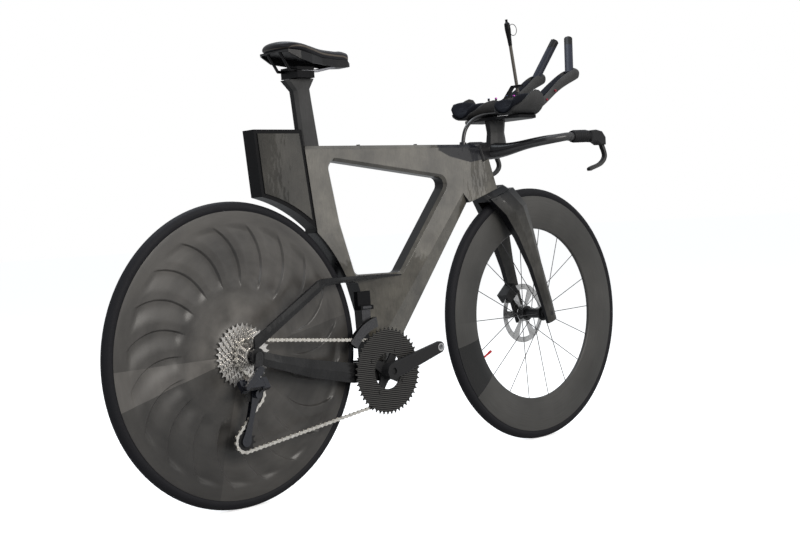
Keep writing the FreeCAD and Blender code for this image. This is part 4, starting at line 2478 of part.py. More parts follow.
def make_carrier():
    holder, wall = link_bracket(link_end, 1)
    parts = [holder]
    boss_y = -plate_outside - size.running_gap
    boss_length = size.knuckle_radius
    boss = cylinder(size.knuckle_radius, boss_length, guide_axle + ACROSS * float(boss_y - boss_length))
    parts.append(boss)
    inward = link_axis.cross(AHEAD)
    low = wall - link_axis * float(link_half / 2) + inward * float(size.knuckle_arm_radius)
    low = low + AHEAD * float(size.link_ear / 2)
    parts.append(bar(low, guide_axle + ACROSS * float(boss_y - boss_length / 2), size.knuckle_arm_radius))
    pin = cylinder(size.cage_pin_radius, boss_length + size.cage_plate,
                   guide_axle + ACROSS * float(boss_y - boss_length))
    parts.append(pin)
    piece("derailleur_carrier", joined_solid(parts))


make_link_body()
make_knuckle()
make_carrier()


def cage_outline(radius):
    """A long plate round both pulley axles, drawn in between them."""
    angle = math.degrees(math.atan2(tension_axle.z - guide_axle.z, tension_axle.x - guide_axle.x))
    side = around(V(0, 0, 0), 1, angle + 90)
    waist_share = 0.55
    middle = (guide_axle + tension_axle) / 2
    corners = [
        (guide_axle + side * radius, around(guide_axle, radius, angle + 180), guide_axle - side * radius),
        (guide_axle - side * radius, middle - side * radius * waist_share, tension_axle - side * radius),
        (tension_axle - side * radius, around(tension_axle, radius, angle), tension_axle + side * radius),
        (tension_axle + side * radius, middle + side * radius * waist_share, guide_axle + side * radius),
    ]
    return path_of(corners)


def make_cage():
    radius = float(size.cage_end_radius)
    outer_y = -plate_outside
    inner_y = -size.chain_line + size.cage_side
    hole = drill(size.cage_pin_radius + size.seat_gap, guide_axle, outer_y, size.cage_plate)
    shape = plate(cage_outline(radius), outer_y, size.cage_plate)
    shape = shape.fuse(plate(cage_outline(radius), inner_y, size.cage_plate))
    for axle in (guide_axle, tension_axle):
        shape = shape.fuse(drill(size.pulley_bore - size.seat_gap, axle, outer_y,
                                 size.cage_side * 2 + size.cage_plate * 2))
    piece("derailleur_cage", solid(shape.cut(hole).removeSplitter()))


make_cage()


def make_pulley(label, axle):
    y = -size.chain_line - size.pulley_thickness / 2
    gap_angle = gap_angle_on(axle, pitch_radius(pulley_teeth))
    holes = [drill(size.pulley_bore, axle, y, size.pulley_thickness)]
    toothed = solid(plate(sprocket_wire(axle, pulley_teeth, gap_angle), y, size.pulley_thickness, holes))
    hub_length = (size.cage_side - size.running_gap) * 2
    hub = tube(size.pulley_bore * 2, size.pulley_bore, hub_length,
               axle - ACROSS * float(size.chain_line + hub_length / 2))
    piece(label, joined_solid([toothed, hub]))


make_pulley("guide_pulley", guide_axle)
make_pulley("tension_pulley", tension_axle)

# Checks and files

doc.recompute()
for item in doc.Objects:
    if "Invalid" in item.State or "Error" in item.State:
        raise RuntimeError("failed object: " + item.Label)
for item in pieces:
    if item.Shape.isNull() or not item.Shape.isValid() or not item.Shape.Solids:
        raise RuntimeError("bad shape: " + item.Label)
os.makedirs("parts", exist_ok=True)
for item in pieces:
    item.Shape.exportStep("parts/" + item.Label + ".step")
print("links", link_count, "cage angle", round(cage_angle, 2), "pieces", len(pieces))
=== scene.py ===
# %% [markdown]
# # A time trial bicycle, dressed in Blender
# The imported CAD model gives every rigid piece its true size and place. This lesson adds what CAD leaves
# plain: finishes for carbon, rubber and metal, the sculpted disc wheel, the padded saddle and arm rests,
# and the bent drinking hose. Everything is in metres, with +X forward, +Y to the left and +Z up.

# %% Load the frame
import math

import bmesh
import bpy
from mathutils import Matrix, Vector


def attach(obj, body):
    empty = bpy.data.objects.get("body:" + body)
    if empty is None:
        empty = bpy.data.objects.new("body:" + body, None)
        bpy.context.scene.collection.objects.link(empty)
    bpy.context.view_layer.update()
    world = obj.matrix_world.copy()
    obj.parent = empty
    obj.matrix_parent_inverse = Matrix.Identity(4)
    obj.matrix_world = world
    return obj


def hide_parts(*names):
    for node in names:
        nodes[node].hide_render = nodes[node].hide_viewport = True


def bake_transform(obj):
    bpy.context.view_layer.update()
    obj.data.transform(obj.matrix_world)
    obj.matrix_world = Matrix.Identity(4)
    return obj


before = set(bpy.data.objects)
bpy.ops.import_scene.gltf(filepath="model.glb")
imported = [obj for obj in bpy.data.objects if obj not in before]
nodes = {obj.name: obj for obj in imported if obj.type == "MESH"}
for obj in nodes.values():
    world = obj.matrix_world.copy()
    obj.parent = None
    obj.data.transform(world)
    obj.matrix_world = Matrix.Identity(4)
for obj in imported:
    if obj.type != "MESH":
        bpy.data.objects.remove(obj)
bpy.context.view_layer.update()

# %% [markdown]
# ## The camera
# The photograph was taken from behind the right side, at about hub height, with a normal lens. The place
# and the three turns below come from matching both wheels, because two circles of known size fix a camera
# well. The matrix columns are the camera's right, up and back.

# %% Make the camera
CAMERA_PLACE = Vector((-2.233, -2.382, 0.613))
CAMERA_YAW = math.radians(43.29)
CAMERA_PITCH = math.radians(-2.03)
CAMERA_ROLL = math.radians(-3.55)
CAMERA_LENS = 60.0

ahead = Vector((math.sin(CAMERA_YAW) * math.cos(CAMERA_PITCH),
                math.cos(CAMERA_YAW) * math.cos(CAMERA_PITCH), math.sin(CAMERA_PITCH)))
level = Vector((math.cos(CAMERA_YAW), -math.sin(CAMERA_YAW), 0))
upright = level.cross(ahead)
right = level * math.cos(CAMERA_ROLL) + upright * math.sin(CAMERA_ROLL)
up = upright * math.cos(CAMERA_ROLL) - level * math.sin(CAMERA_ROLL)
camera_data = bpy.data.cameras.new("photo_camera")
camera_data.lens = CAMERA_LENS
camera = bpy.data.objects.new("photo_camera", camera_data)
camera.matrix_world = Matrix((right, up, -ahead)).transposed().to_4x4()
camera.location = CAMERA_PLACE
scene = bpy.context.scene
scene.collection.objects.link(camera)
scene.camera = camera
print("camera at", [round(x, 3) for x in camera.location])

# %% [markdown]
# ## The white studio
# The photograph is a studio shot on white. A world that is white for every ray would also light the dark
# carbon from all sides and wash its shape out. So world and floor are white to the camera, partly white to
# reflections, and duller to the light that reaches the bicycle. A light path node tells these rays apart.

# %% Set up the world
scene.view_settings.view_transform = "Standard"


def add_node(tree, kind, **values):
    """A new node with some of its settings given; a name that is a socket sets that socket."""
    node = tree.nodes.new(kind)
    for name, value in values.items():
        if hasattr(node, name):
            setattr(node, name, value)
        else:
            node.inputs[name.replace("_", " ")].default_value = value
    return node


def join(tree, *pairs):
    """Links outputs to inputs, given as pairs."""
    for source, target in pairs:
        tree.links.new(source, target)


def feed(tree, value, socket):
    """Gives a socket a plain number, a colour or another node's output."""
    if isinstance(value, tuple):
        socket.default_value = (*value, 1)
    elif isinstance(value, (int, float)):
        socket.default_value = value
    else:
        join(tree, (value, socket))


def calculated(tree, operation, *values):
    """The result of a math node; each value may be a number or another node's output."""
    node = add_node(tree, "ShaderNodeMath", operation=operation)
    for value, socket in zip(values, node.inputs):
        feed(tree, value, socket)
    return node.outputs[0]


def white_for_camera(tree, soft_shader, white_shader, glossy_share):
    """Mixes two shaders so that camera rays see the white one, and glossy rays a share of it."""
    ray = add_node(tree, "ShaderNodeLightPath").outputs
    share = calculated(tree, "MULTIPLY_ADD", ray["Is Glossy Ray"], glossy_share, ray["Is Camera Ray"])
    share = calculated(tree, "MAXIMUM", share, ray["Is Transmission Ray"])
    mix = add_node(tree, "ShaderNodeMixShader")
    join(tree, (share, mix.inputs[0]), (soft_shader, mix.inputs[1]), (white_shader, mix.inputs[2]))
    return mix.outputs[0]


WHITE = (1, 1, 1, 1)
world = bpy.data.worlds.new("studio")
scene.world = world
world.use_nodes = True
tree = world.node_tree
tree.nodes.clear()
soft = add_node(tree, "ShaderNodeBackground", Color=(0.94, 0.97, 1.0, 1), Strength=0.46)
white = add_node(tree, "ShaderNodeBackground", Color=WHITE, Strength=1.0)
out = add_node(tree, "ShaderNodeOutputWorld")
join(tree, (white_for_camera(tree, soft.outputs[0], white.outputs[0], glossy_share=0.35), out.inputs[0]))
print("world:", world.name)

# %% [markdown]
# The floor is one large square. To the camera it is pale paper with a faint glow of its own, which keeps it
# white out of the lamps' reach and still lets the wheels leave a soft shadow.

# %% Lay the floor
FLOOR_REACH = 40
floor_mesh = bpy.data.meshes.new("floor")
builder = bmesh.new()
bmesh.ops.create_grid(builder, x_segments=1, y_segments=1, size=FLOOR_REACH)
builder.to_mesh(floor_mesh)
builder.free()
floor = bpy.data.objects.new("floor", floor_mesh)
scene.collection.objects.link(floor)
floor_material = bpy.data.materials.new("white_floor")
floor_material.use_nodes = True
tree = floor_material.node_tree
tree.nodes.clear()
dull = add_node(tree, "ShaderNodeBsdfDiffuse", Color=(0.20, 0.20, 0.20, 1))
pale = add_node(tree, "ShaderNodeBsdfDiffuse", Color=(0.96, 0.96, 0.96, 1))
glow = add_node(tree, "ShaderNodeEmission", Color=WHITE, Strength=0.57)
lit = add_node(tree, "ShaderNodeAddShader")
out = add_node(tree, "ShaderNodeOutputMaterial")
join(tree, (pale.outputs[0], lit.inputs[0]), (glow.outputs[0], lit.inputs[1]),
     (white_for_camera(tree, dull.outputs[0], lit.outputs[0], glossy_share=0.3), out.inputs[0]))
floor_mesh.materials.append(floor_material)
print("floor:", floor.name)

# %% [markdown]
# Four square lamps do the rest. A wide cool one overhead gives the top faces their sheen, a wide warm one on
# the right lights the flanks, and two weak ones, in front and behind, open the shadows. Wide lamps are used
# because gloss carbon mirrors a small lamp as a hard white spot.

# %% Hang the lamps
LAMPS = [  # name, place, aim, side of the square, watts, colour
    ("overhead", (0.1, 0.6, 3.4), (0, 0, 0.5), 1.8, 54, (0.86, 0.93, 1.0)),
    ("side", (0.2, -3.4, 2.0), (0, 0, 0.45), 1.7, 84, (1.0, 0.965, 0.91)),
    ("front_side", (2.4, -2.7, 0.9), (0, 0, 0.6), 1.0, 4, (1.0, 0.97, 0.92)),
    ("rear_fill", (-3.2, -0.8, 1.6), (-0.2, 0, 0.5), 1.2, 12, (0.92, 0.96, 1.0)),
]
for name, place, aim, side, watts, colour in LAMPS:
    lamp_data = bpy.data.lights.new(name, "AREA")
    lamp_data.size = side
    lamp_data.energy = watts
    lamp_data.color = colour
    lamp = bpy.data.objects.new(name, lamp_data)
    lamp.location = place
    lamp.rotation_euler = (Vector(aim) - Vector(place)).to_track_quat("-Z", "Y").to_euler()
    scene.collection.objects.link(lamp)

# %% [markdown]
# ## Finishes
# Each finish is one Principled shader fed by a few small pattern nodes. Object coordinates are in metres, so
# a noise of scale 1000 has grains of about a millimetre. The helpers below make the patterns that return:
# a stretched noise for fibres and grain, a ramp for its tones, and a bump for its relief.

# %% Helpers for patterns


def new_finish(name, **sockets):
    """A material with one Principled shader; gives the material, its node tree and its shader."""
    material = bpy.data.materials.new(name)
    material.use_nodes = True
    shader = material.node_tree.nodes["Principled BSDF"]
    for socket, value in sockets.items():
        shader.inputs[socket.replace("_", " ")].default_value = value
    return material, material.node_tree, shader


def placed(tree, **mapping):
    """The piece's own coordinates in metres, scaled, turned and moved."""
    place = add_node(tree, "ShaderNodeTexCoord")
    node = add_node(tree, "ShaderNodeMapping", **mapping)
    join(tree, (place.outputs["Object"], node.inputs["Vector"]))
    return node.outputs["Vector"]


def parts_of(tree, vector):
    """A vector's X, Y and Z."""
    node = add_node(tree, "ShaderNodeSeparateXYZ")
    join(tree, (vector, node.inputs[0]))
    return node.outputs


def grain(tree, scale, stretch=(1, 1, 1), turn=(0, 0, 0), detail=4, roughness=0.55):
    """Noise on the piece's own coordinates, stretched and turned."""
    noise = add_node(tree, "ShaderNodeTexNoise", Scale=scale, Detail=detail, Roughness=roughness)
    join(tree, (placed(tree, Scale=stretch, Rotation=turn), noise.inputs["Vector"]))
    return noise.outputs["Fac"]


def tones(tree, value, *stops, kind="LINEAR"):
    """A colour ramp; the stops are (place, colour), where a plain number stands for a grey."""
    ramp = add_node(tree, "ShaderNodeValToRGB")
    ramp.color_ramp.interpolation = kind
    elements = ramp.color_ramp.elements
    while len(elements) < len(stops):
        elements.new(0.5)
    for element, (place, colour) in zip(elements, stops):
        element.position = place
        element.color = (*(colour if isinstance(colour, tuple) else (colour,) * 3), 1)
    join(tree, (value, ramp.inputs["Fac"]))
    return ramp.outputs["Color"]


def blended(tree, first, second, share, kind="MIX"):
    """Two colours mixed by a share; each may be a plain value or another node's output."""
    mix = add_node(tree, "ShaderNodeMix", data_type="RGBA", blend_type=kind)
    for value, socket in ((share, mix.inputs[0]), (first, mix.inputs[6]), (second, mix.inputs[7])):
        feed(tree, value, socket)
    return mix.outputs[2]


print("pattern helpers ready")

# %% [markdown]
# A few more helpers move values from one range to another, find where a surface lies or which way it faces,
# and lay a second colour over a finish there. They stand in for the masks that a painter would cut. Where
# they go by which way a surface faces, they lay painted light and shade.

# %% Helpers for ranges and paint


def ranged(tree, value, low, high):
    """0 where a value is low and 1 where it is high, and never outside."""
    node = add_node(tree, "ShaderNodeMapRange", From_Min=low, From_Max=high)
    join(tree, (value, node.inputs["Value"]))
    return node.outputs["Result"]


def spread(tree, value, low, high):
    """Moves a 0 to 1 value into another range."""
    node = add_node(tree, "ShaderNodeMapRange", To_Min=low, To_Max=high)
    join(tree, (value, node.inputs["Value"]))
    return node.outputs["Result"]


def past(tree, output, axis, low, high):
    """0 up to one value along an axis and 1 from another; output is Object (in metres) or Normal."""
    parts = parts_of(tree, add_node(tree, "ShaderNodeTexCoord").outputs[output])
    if axis == "side":
        return ranged(tree, calculated(tree, "ABSOLUTE", parts["Y"]), low, high)
    return ranged(tree, parts[axis], low, high)


def product(tree, first, second):
    """Two shares multiplied."""
    return calculated(tree, "MULTIPLY", first, second)


def relief(tree, shader, height, strength, depth):
    """Bump on the shader's normal; depth is in metres."""
    bump = add_node(tree, "ShaderNodeBump", Strength=strength, Distance=depth)
    join(tree, (height, bump.inputs["Height"]), (bump.outputs["Normal"], shader.inputs["Normal"]))


def paint_over(material, colour, share):
    """Lays a colour over a finish wherever a share is 1."""
    tree = material.node_tree
    target = tree.nodes["Principled BSDF"].inputs["Base Color"]
    join(tree, (blended(tree, target.links[0].from_socket, colour, share), target))


print("paint helpers ready")

# %% [markdown]
# ### Carbon under clear coat
# The frame and fork are carbon under a gloss coat: sheets of fibre lie in patches that differ a little in
# tone, with fine streaks along each sheet. A large soft noise gives the patches, a strongly stretched one
# the fibres, and a slightly wavy coat the reflections. Only the flanks show this figure. Faces that look
# up, down or along the bicycle get painted shade instead: a plain dark tone and a thinner coat.

# %% Carbon finishes
FLANK_NORMALS = (0.45, 0.72)
PAINTED_SHADE_COAT_SHARE = 0.15


def carbon(name, dark, light, edge, roughness, coat, shine, figure=0.6, fibre_turn=(0, 0.9, 0)):
    """Streaked carbon on the faces that look sideways; the others get the edge colour and less coat, as
    painted shade.
    """
    material, tree, shader = new_finish(name, Coat_Roughness=0.035, Coat_IOR=1.5, Specular_IOR_Level=shine)
    patches = tones(tree, grain(tree, 11, detail=3), (0.36, dark), (0.64, light))
    fibres = grain(tree, 420, stretch=(1, 1, 0.16), turn=fibre_turn, detail=4)
    streaks = tones(tree, fibres, (0.3, (0.66, 0.66, 0.67)), (0.7, (1.28, 1.27, 1.25)))
    haze = grain(tree, 34, detail=6, roughness=0.65)
    clouds = tones(tree, haze, (0.36, (0.7, 0.69, 0.66)), (0.66, 1.2))
    woven = blended(tree, blended(tree, patches, streaks, figure, "MULTIPLY"), clouds, figure, "MULTIPLY")
    # Faces outside this mask get painted shade: the edge colour, and a coat cut to a share.
    unshaded_flanks = past(tree, "Normal", "side", *FLANK_NORMALS)
    rough = spread(tree, grain(tree, 60, detail=5), roughness - 0.06, roughness + 0.08)
    rounded = add_node(tree, "ShaderNodeBevel", samples=4, Radius=0.0012).outputs["Normal"]
    waves = add_node(tree, "ShaderNodeBump", Strength=0.35, Distance=0.002)
    join(tree, (blended(tree, edge, woven, unshaded_flanks), shader.inputs["Base Color"]),
         (rough, shader.inputs["Roughness"]),
         (spread(tree, unshaded_flanks, coat * PAINTED_SHADE_COAT_SHARE, coat), shader.inputs["Coat Weight"]),
         (rounded, shader.inputs["Normal"]), (rounded, waves.inputs["Normal"]),
         (grain(tree, 18, stretch=(1, 1, 0.5), detail=3), waves.inputs["Height"]),
         (waves.outputs["Normal"], shader.inputs["Coat Normal"]))
    return material


# Each edge colour below is painted shade, laid on the faces that don't look sideways.
frame_carbon = carbon("gloss_frame_carbon", (0.048, 0.044, 0.037), (0.112, 0.104, 0.087),
                      edge=(0.005, 0.005, 0.006), roughness=0.28, coat=1.0, shine=0.2)
panel_carbon = carbon("gloss_panel_carbon", (0.016, 0.015, 0.012), (0.040, 0.037, 0.031),
                      edge=(0.012, 0.012, 0.012), roughness=0.26, coat=0.5, shine=0.2)
stay_carbon = carbon("dark_stay_carbon", (0.009, 0.009, 0.010), (0.020, 0.020, 0.021),
                     edge=(0.006, 0.006, 0.008), roughness=0.26, coat=0.2, shine=0.15)
fork_carbon = carbon("gloss_fork_carbon", (0.030, 0.029, 0.027), (0.064, 0.062, 0.058),
                     edge=(0.006, 0.006, 0.008), roughness=0.3, coat=0.25, shine=0.15)
bar_gloss = carbon("gloss_bar_carbon", (0.006, 0.006, 0.007), (0.014, 0.014, 0.016),
                   edge=(0.007, 0.007, 0.008), roughness=0.3, coat=0.3, shine=0.2, fibre_turn=(0.4, 0, 0.8))
post_carbon = carbon("matt_carbon", (0.043, 0.043, 0.044), (0.056, 0.056, 0.057),
                     edge=(0.014, 0.014, 0.015), roughness=0.52, coat=0.0, shine=0.2, figure=0.3)
print("carbon finishes:", frame_carbon.name, panel_carbon.name, stay_carbon.name, fork_carbon.name,
      bar_gloss.name, post_carbon.name)

# %% [markdown]
# The front of the top tube carries a smooth dark cover over the stem. Its lower edge is a shallow curve: a
# ramp gives the edge's height for each place along the tube, and what lies above it is painted over. A
# separate piece would need a seam of its own, and the photograph shows hardly any. The fork's crown is dark
# too. The base bar is paler underneath, which is painted light from below, and paler just before the grips.

# %% Paint the stem cover, crown and bar
COVER_BACK, COVER_FRONT = 0.140, 0.340
COVER_FOOT, COVER_TOP = 0.740, 0.780
COVER_EDGE = [(0.06, 0.95), (0.24, 0.575), (0.61, 0.2), (0.80, 0.325), (0.95, 0.6)]
tree = frame_carbon.node_tree
edge_height = tones(tree, past(tree, "Object", "X", COVER_BACK, COVER_FRONT), *COVER_EDGE)
height = past(tree, "Object", "Z", COVER_FOOT, COVER_TOP)
above_edge = ranged(tree, calculated(tree, "SUBTRACT", height, edge_height), 0, 0.05)
covered = product(tree, above_edge, past(tree, "Object", "X", COVER_BACK + 0.005, COVER_BACK + 0.010))
paint_over(frame_carbon, (0.005, 0.0055, 0.009), covered)
coat = tree.nodes["Principled BSDF"].inputs["Coat Weight"]
join(tree, (product(tree, coat.links[0].from_socket, spread(tree, covered, 1.0, 0.35)), coat))
paint_over(fork_carbon, (0.010, 0.011, 0.014), past(fork_carbon.node_tree, "Object", "Z", 0.600, 0.680))
# Painted light: the bar's underside is made paler, as if lit from the floor below.
paint_over(bar_gloss, (0.075, 0.076, 0.080), past(bar_gloss.node_tree, "Normal", "Z", -0.25, -0.6))
paint_over(bar_gloss, (0.045, 0.045, 0.047), past(bar_gloss.node_tree, "Object", "side", 0.158, 0.164))
print("painted:", frame_carbon.name, fork_carbon.name, bar_gloss.name)

# %% [markdown]
# ### The front rim
# The deep front rim is bare matt carbon with fibres that run round the wheel, and one short glossy black
# band. Noise in plain coordinates would run straight across the rim, so the angle and the distance from
# the axle are worked out first, and the noise is laid in those.

# %% Rim finish
AXLE_HEIGHT = 0.338
FRONT_AXLE_X = 0.4982
REAR_AXLE_X = -0.4982
BAND_START, BAND_END = 0.031, 0.102


def polar(tree, axle_x, axle_z=AXLE_HEIGHT):
    """Angle from -0.5 to 0.5 of a turn and distance from an axis across the bicycle."""
    from_axle = placed(tree, Scale=(1, 0, 1), Location=(-axle_x, 0, -axle_z))
    parts = parts_of(tree, from_axle)
    angle = calculated(tree, "ARCTAN2", parts["Z"], parts["X"])
    radius = add_node(tree, "ShaderNodeVectorMath", operation="LENGTH")
    join(tree, (from_axle, radius.inputs[0]))
    return calculated(tree, "DIVIDE", angle, 2 * math.pi), radius.outputs["Value"]


def wheel_noise(tree, angle, radius, grains_a_turn, grains_a_metre, detail=3):
    """Noise in the wheel's own round coordinates."""
    pair = add_node(tree, "ShaderNodeCombineXYZ")
    scaled = add_node(tree, "ShaderNodeVectorMath", operation="MULTIPLY")
    scaled.inputs[1].default_value = (grains_a_turn, grains_a_metre, 1)
    noise = add_node(tree, "ShaderNodeTexNoise", Scale=1, Detail=detail)
    join(tree, (angle, pair.inputs[0]), (radius, pair.inputs[1]), (pair.outputs[0], scaled.inputs[0]),
         (scaled.outputs[0], noise.inputs["Vector"]))
    return noise.outputs["Fac"]


rim_carbon, tree, shader = new_finish("matt_rim_carbon", Specular_IOR_Level=0.35)
angle, radius = polar(tree, FRONT_AXLE_X)
sheets = tones(tree, wheel_noise(tree, angle, radius, 9, 5), (0.35, (0.046, 0.045, 0.043)),
               (0.65, (0.072, 0.070, 0.067)))
fibres = tones(tree, wheel_noise(tree, angle, radius, 26, 900), (0.3, 0.84), (0.7, 1.12))
bare = blended(tree, sheets, fibres, 1.0, "MULTIPLY")
band = tones(tree, calculated(tree, "ADD", angle, 0.5), (0.0, 0.0), (BAND_START, 1.0), (BAND_END, 0.0),
             kind="CONSTANT")
join(tree, (blended(tree, bare, (0.012, 0.012, 0.012), band), shader.inputs["Base Color"]),
     (spread(tree, band, 0.46, 0.2), shader.inputs["Roughness"]))
print("rim finish:", rim_carbon.name)

# %% [markdown]
# ### The disc's skin
# The disc is covered with a few large sheets of carbon, cut like slices of a cake, and each sheet has its own
# tone. A ramp of flat steps over the angle gives the slices, and round noise clouds them. The cone in the
# middle is a little paler, which is painted light.

# %% Disc finish
SHEET_TONES = [(0.0, 1.25), (0.041, 0.52), (0.210, 0.72), (0.378, 0.62), (0.53, 0.90), (0.71, 0.86),
               (0.88, 0.80)]
disc_carbon, tree, shader = new_finish("satin_disc_carbon", Coat_Weight=0.25, Coat_Roughness=0.25,
                                       Specular_IOR_Level=0.35)
angle, radius = polar(tree, REAR_AXLE_X)
cloud = tones(tree, wheel_noise(tree, angle, radius, 9, 16, 5), (0.3, (0.040, 0.037, 0.034)),
              (0.72, (0.112, 0.105, 0.097)))
slices = tones(tree, calculated(tree, "ADD", angle, 0.5),
               *[(start, (tone, tone, tone * 1.01)) for start, tone in SHEET_TONES], kind="CONSTANT")
wear = tones(tree, grain(tree, 7, detail=6), (0.3, (0.86, 0.86, 0.87)), (0.7, (1.1, 1.1, 1.09)))
# Painted light: the cone in the middle is made paler.
painted_cone_light = tones(tree, radius, (0.10, (1.45, 1.44, 1.42)), (0.155, 1.0))
skin = cloud
for layer in (slices, wear, painted_cone_light):
    skin = blended(tree, skin, layer, 1.0, "MULTIPLY")
join(tree, (skin, shader.inputs["Base Color"]),
     (spread(tree, grain(tree, 30, detail=6), 0.3, 0.46), shader.inputs["Roughness"]))
print("disc finish:", disc_carbon.name)

# %% [markdown]
# ### Rubber, foam and plastic
# Tyre rubber is dull with a faint moulded grain, and the grips have a finer one. The arm pads have a knitted
# cover. Moulded plastic has a soft sheen and tiny pits. One recipe serves them all, because they differ only
# in tone, gloss and size of grain. The crank's threaded eyes show bare metal, and the grip posts have black
# caps.

# %% Soft and moulded finishes
CRANK_EYES = [(0.0629, 0.2959), (-0.2573, 0.2161)]
EYE_RADIUS = 0.0092
POST_CAP_HEIGHT = 1.066


def moulded(name, dark, light, roughness, scale, depth, shine):
    """A dull finish with two tones and a fine relief of the same grain."""
    material, tree, shader = new_finish(name, Specular_IOR_Level=shine)
    pits = grain(tree, scale, detail=3)
    rough = spread(tree, grain(tree, 40), roughness - 0.07, roughness + 0.07)
    join(tree, (tones(tree, pits, (0.35, dark), (0.65, light)), shader.inputs["Base Color"]),
         (rough, shader.inputs["Roughness"]))
    relief(tree, shader, pits, 0.5, depth)
    return material


tyre_rubber = moulded("tyre_rubber", (0.011, 0.011, 0.013), (0.019, 0.019, 0.022), 0.62, 900, 0.0002, 0.12)
grip_rubber = moulded("grip_rubber", (0.011, 0.011, 0.012), (0.019, 0.019, 0.021), 0.6, 1400, 0.0002, 0.15)
pad_fabric = moulded("pad_fabric", (0.006, 0.007, 0.010), (0.013, 0.014, 0.019), 0.85, 2600, 0.0003, 0.08)
black_plastic = moulded("black_plastic", (0.004, 0.004, 0.005), (0.009, 0.009, 0.010),
                        0.36, 1100, 0.00008, 0.10)
hood_rubber = moulded("hood_rubber", (0.015, 0.015, 0.016), (0.026, 0.026, 0.028), 0.55, 1200, 0.00015, 0.15)
post_grip_skin = moulded("post_grip_skin", (0.010, 0.012, 0.022), (0.020, 0.024, 0.040),
                         0.5, 1500, 0.00015, 0.35)
shell_gloss = moulded("shell_gloss", (0.006, 0.006, 0.007), (0.012, 0.012, 0.013), 0.36, 300, 0.00002, 0.25)
hose_skin = moulded("hose_skin", (0.006, 0.006, 0.007), (0.012, 0.012, 0.013), 0.3, 700, 0.00004, 0.5)
straw_plastic = moulded("straw_plastic", (0.070, 0.062, 0.052), (0.105, 0.094, 0.080),
                        0.4, 500, 0.00005, 0.4)
crank_black = moulded("crank_black", (0.012, 0.012, 0.013), (0.022, 0.022, 0.023), 0.5, 1600, 0.00005, 0.2)
tree = crank_black.node_tree
for eye_x, eye_z in CRANK_EYES:
    from_eye = polar(tree, eye_x, eye_z)[1]
    paint_over(crank_black, (0.50, 0.50, 0.51), ranged(tree, from_eye, EYE_RADIUS + 0.0006, EYE_RADIUS))
cap = past(post_grip_skin.node_tree, "Object", "Z", POST_CAP_HEIGHT, POST_CAP_HEIGHT + 0.001)
paint_over(post_grip_skin, (0.004, 0.004, 0.005), cap)
print("moulded finishes made, metal eyes:", len(CRANK_EYES))

# %% [markdown]
# The saddle's skin has a thin pale piping above its lower edge and a field of small raised dots on the nose.
# The cover's own map, made with its mesh below, gives the share along the saddle and the share round its
# side, so the piping stays at one height all the way round, which plain coordinates could not do.

# %% Saddle skin
DOTS_A_METRE = 330
saddle_skin, tree, shader = new_finish("saddle_skin", Specular_IOR_Level=0.22)
around = parts_of(tree, add_node(tree, "ShaderNodeUVMap", uv_map="around").outputs["UV"])
leather = grain(tree, 1700, detail=3)
skin = tones(tree, leather, (0.35, (0.008, 0.008, 0.010)), (0.65, (0.017, 0.017, 0.021)))
piping = tones(tree, around["Y"], (0.80, 0.0), (0.83, 1.0), (0.87, 1.0), (0.90, 0.0))
nose = tones(tree, around["X"], (0.56, 0.0), (0.60, 1.0))
top_field = tones(tree, around["Y"], (0.66, 1.0), (0.72, 0.0))
spots = add_node(tree, "ShaderNodeTexVoronoi", Scale=DOTS_A_METRE, Randomness=0.0)
join(tree, (placed(tree, Scale=(1, 1, 0), Rotation=(0, 0, math.radians(45))), spots.inputs["Vector"]))
dots = tones(tree, spots.outputs["Distance"], (0.28, 1.0), (0.36, 0.0))
dot_share = product(tree, dots, product(tree, nose, top_field))
dotted = blended(tree, skin, (0.055, 0.056, 0.066), dot_share)
join(tree, (blended(tree, dotted, (0.10, 0.085, 0.07), piping), shader.inputs["Base Color"]),
     (spread(tree, leather, 0.36, 0.5), shader.inputs["Roughness"]))
relief(tree, shader, dot_share, 0.6, 0.0004)
print("saddle finish:", saddle_skin.name)

# %% [markdown]
# ### Metals
# Chain, sprockets and rotors are bright steel with fine scratches, and spokes and hubs are darkened. The
# derailleur is gloss black. One recipe again serves them all: a noise drives both tone and roughness, as
# wear does. The saddle's rails are bare metal towards the nose and black towards the tail.

# %% Metal finishes
RAIL_PAINT_START = -0.284


def metal(name, dark, light, roughness, scale=300, stretch=(1, 1, 1), metallic=1.0, coat=0.0):
    """A metal with two tones and a roughness that follows the same scratches."""
    material, tree, shader = new_finish(name, Metallic=metallic, Coat_Weight=coat, Coat_Roughness=0.06)
    scratches = grain(tree, scale, stretch=stretch, detail=5)
    join(tree, (tones(tree, scratches, (0.3, dark), (0.7, light)), shader.inputs["Base Color"]),
         (spread(tree, scratches, roughness - 0.08, roughness + 0.1), shader.inputs["Roughness"]))
    return material


bright_steel = metal("bright_steel", (0.52, 0.50, 0.48), (0.80, 0.78, 0.75), 0.3, 500)
rotor_steel = metal("rotor_steel", (0.50, 0.50, 0.50), (0.74, 0.74, 0.74), 0.24, 260, (1, 1, 6))
spoke_steel = metal("spoke_steel", (0.045, 0.045, 0.047), (0.085, 0.085, 0.088), 0.34, 600)
dark_alloy = metal("dark_alloy", (0.020, 0.020, 0.021), (0.042, 0.042, 0.044), 0.36, 400, metallic=0.6)
derailleur_gloss = metal("derailleur_gloss", (0.005, 0.006, 0.010), (0.013, 0.015, 0.024), 0.2, 240,
                         metallic=0.2, coat=0.5)
rail_metal = metal("rail_metal", (0.34, 0.34, 0.36), (0.52, 0.52, 0.55), 0.28, 500)
chain_steel = metal("chain_steel", (0.44, 0.42, 0.38), (0.84, 0.81, 0.76), 0.3, 520)
cage_steel = metal("cage_steel", (0.045, 0.045, 0.048), (0.11, 0.11, 0.115), 0.34, 400)
valve_red = metal("valve_red", (0.42, 0.012, 0.016), (0.62, 0.02, 0.025), 0.3, 300, metallic=0.7)
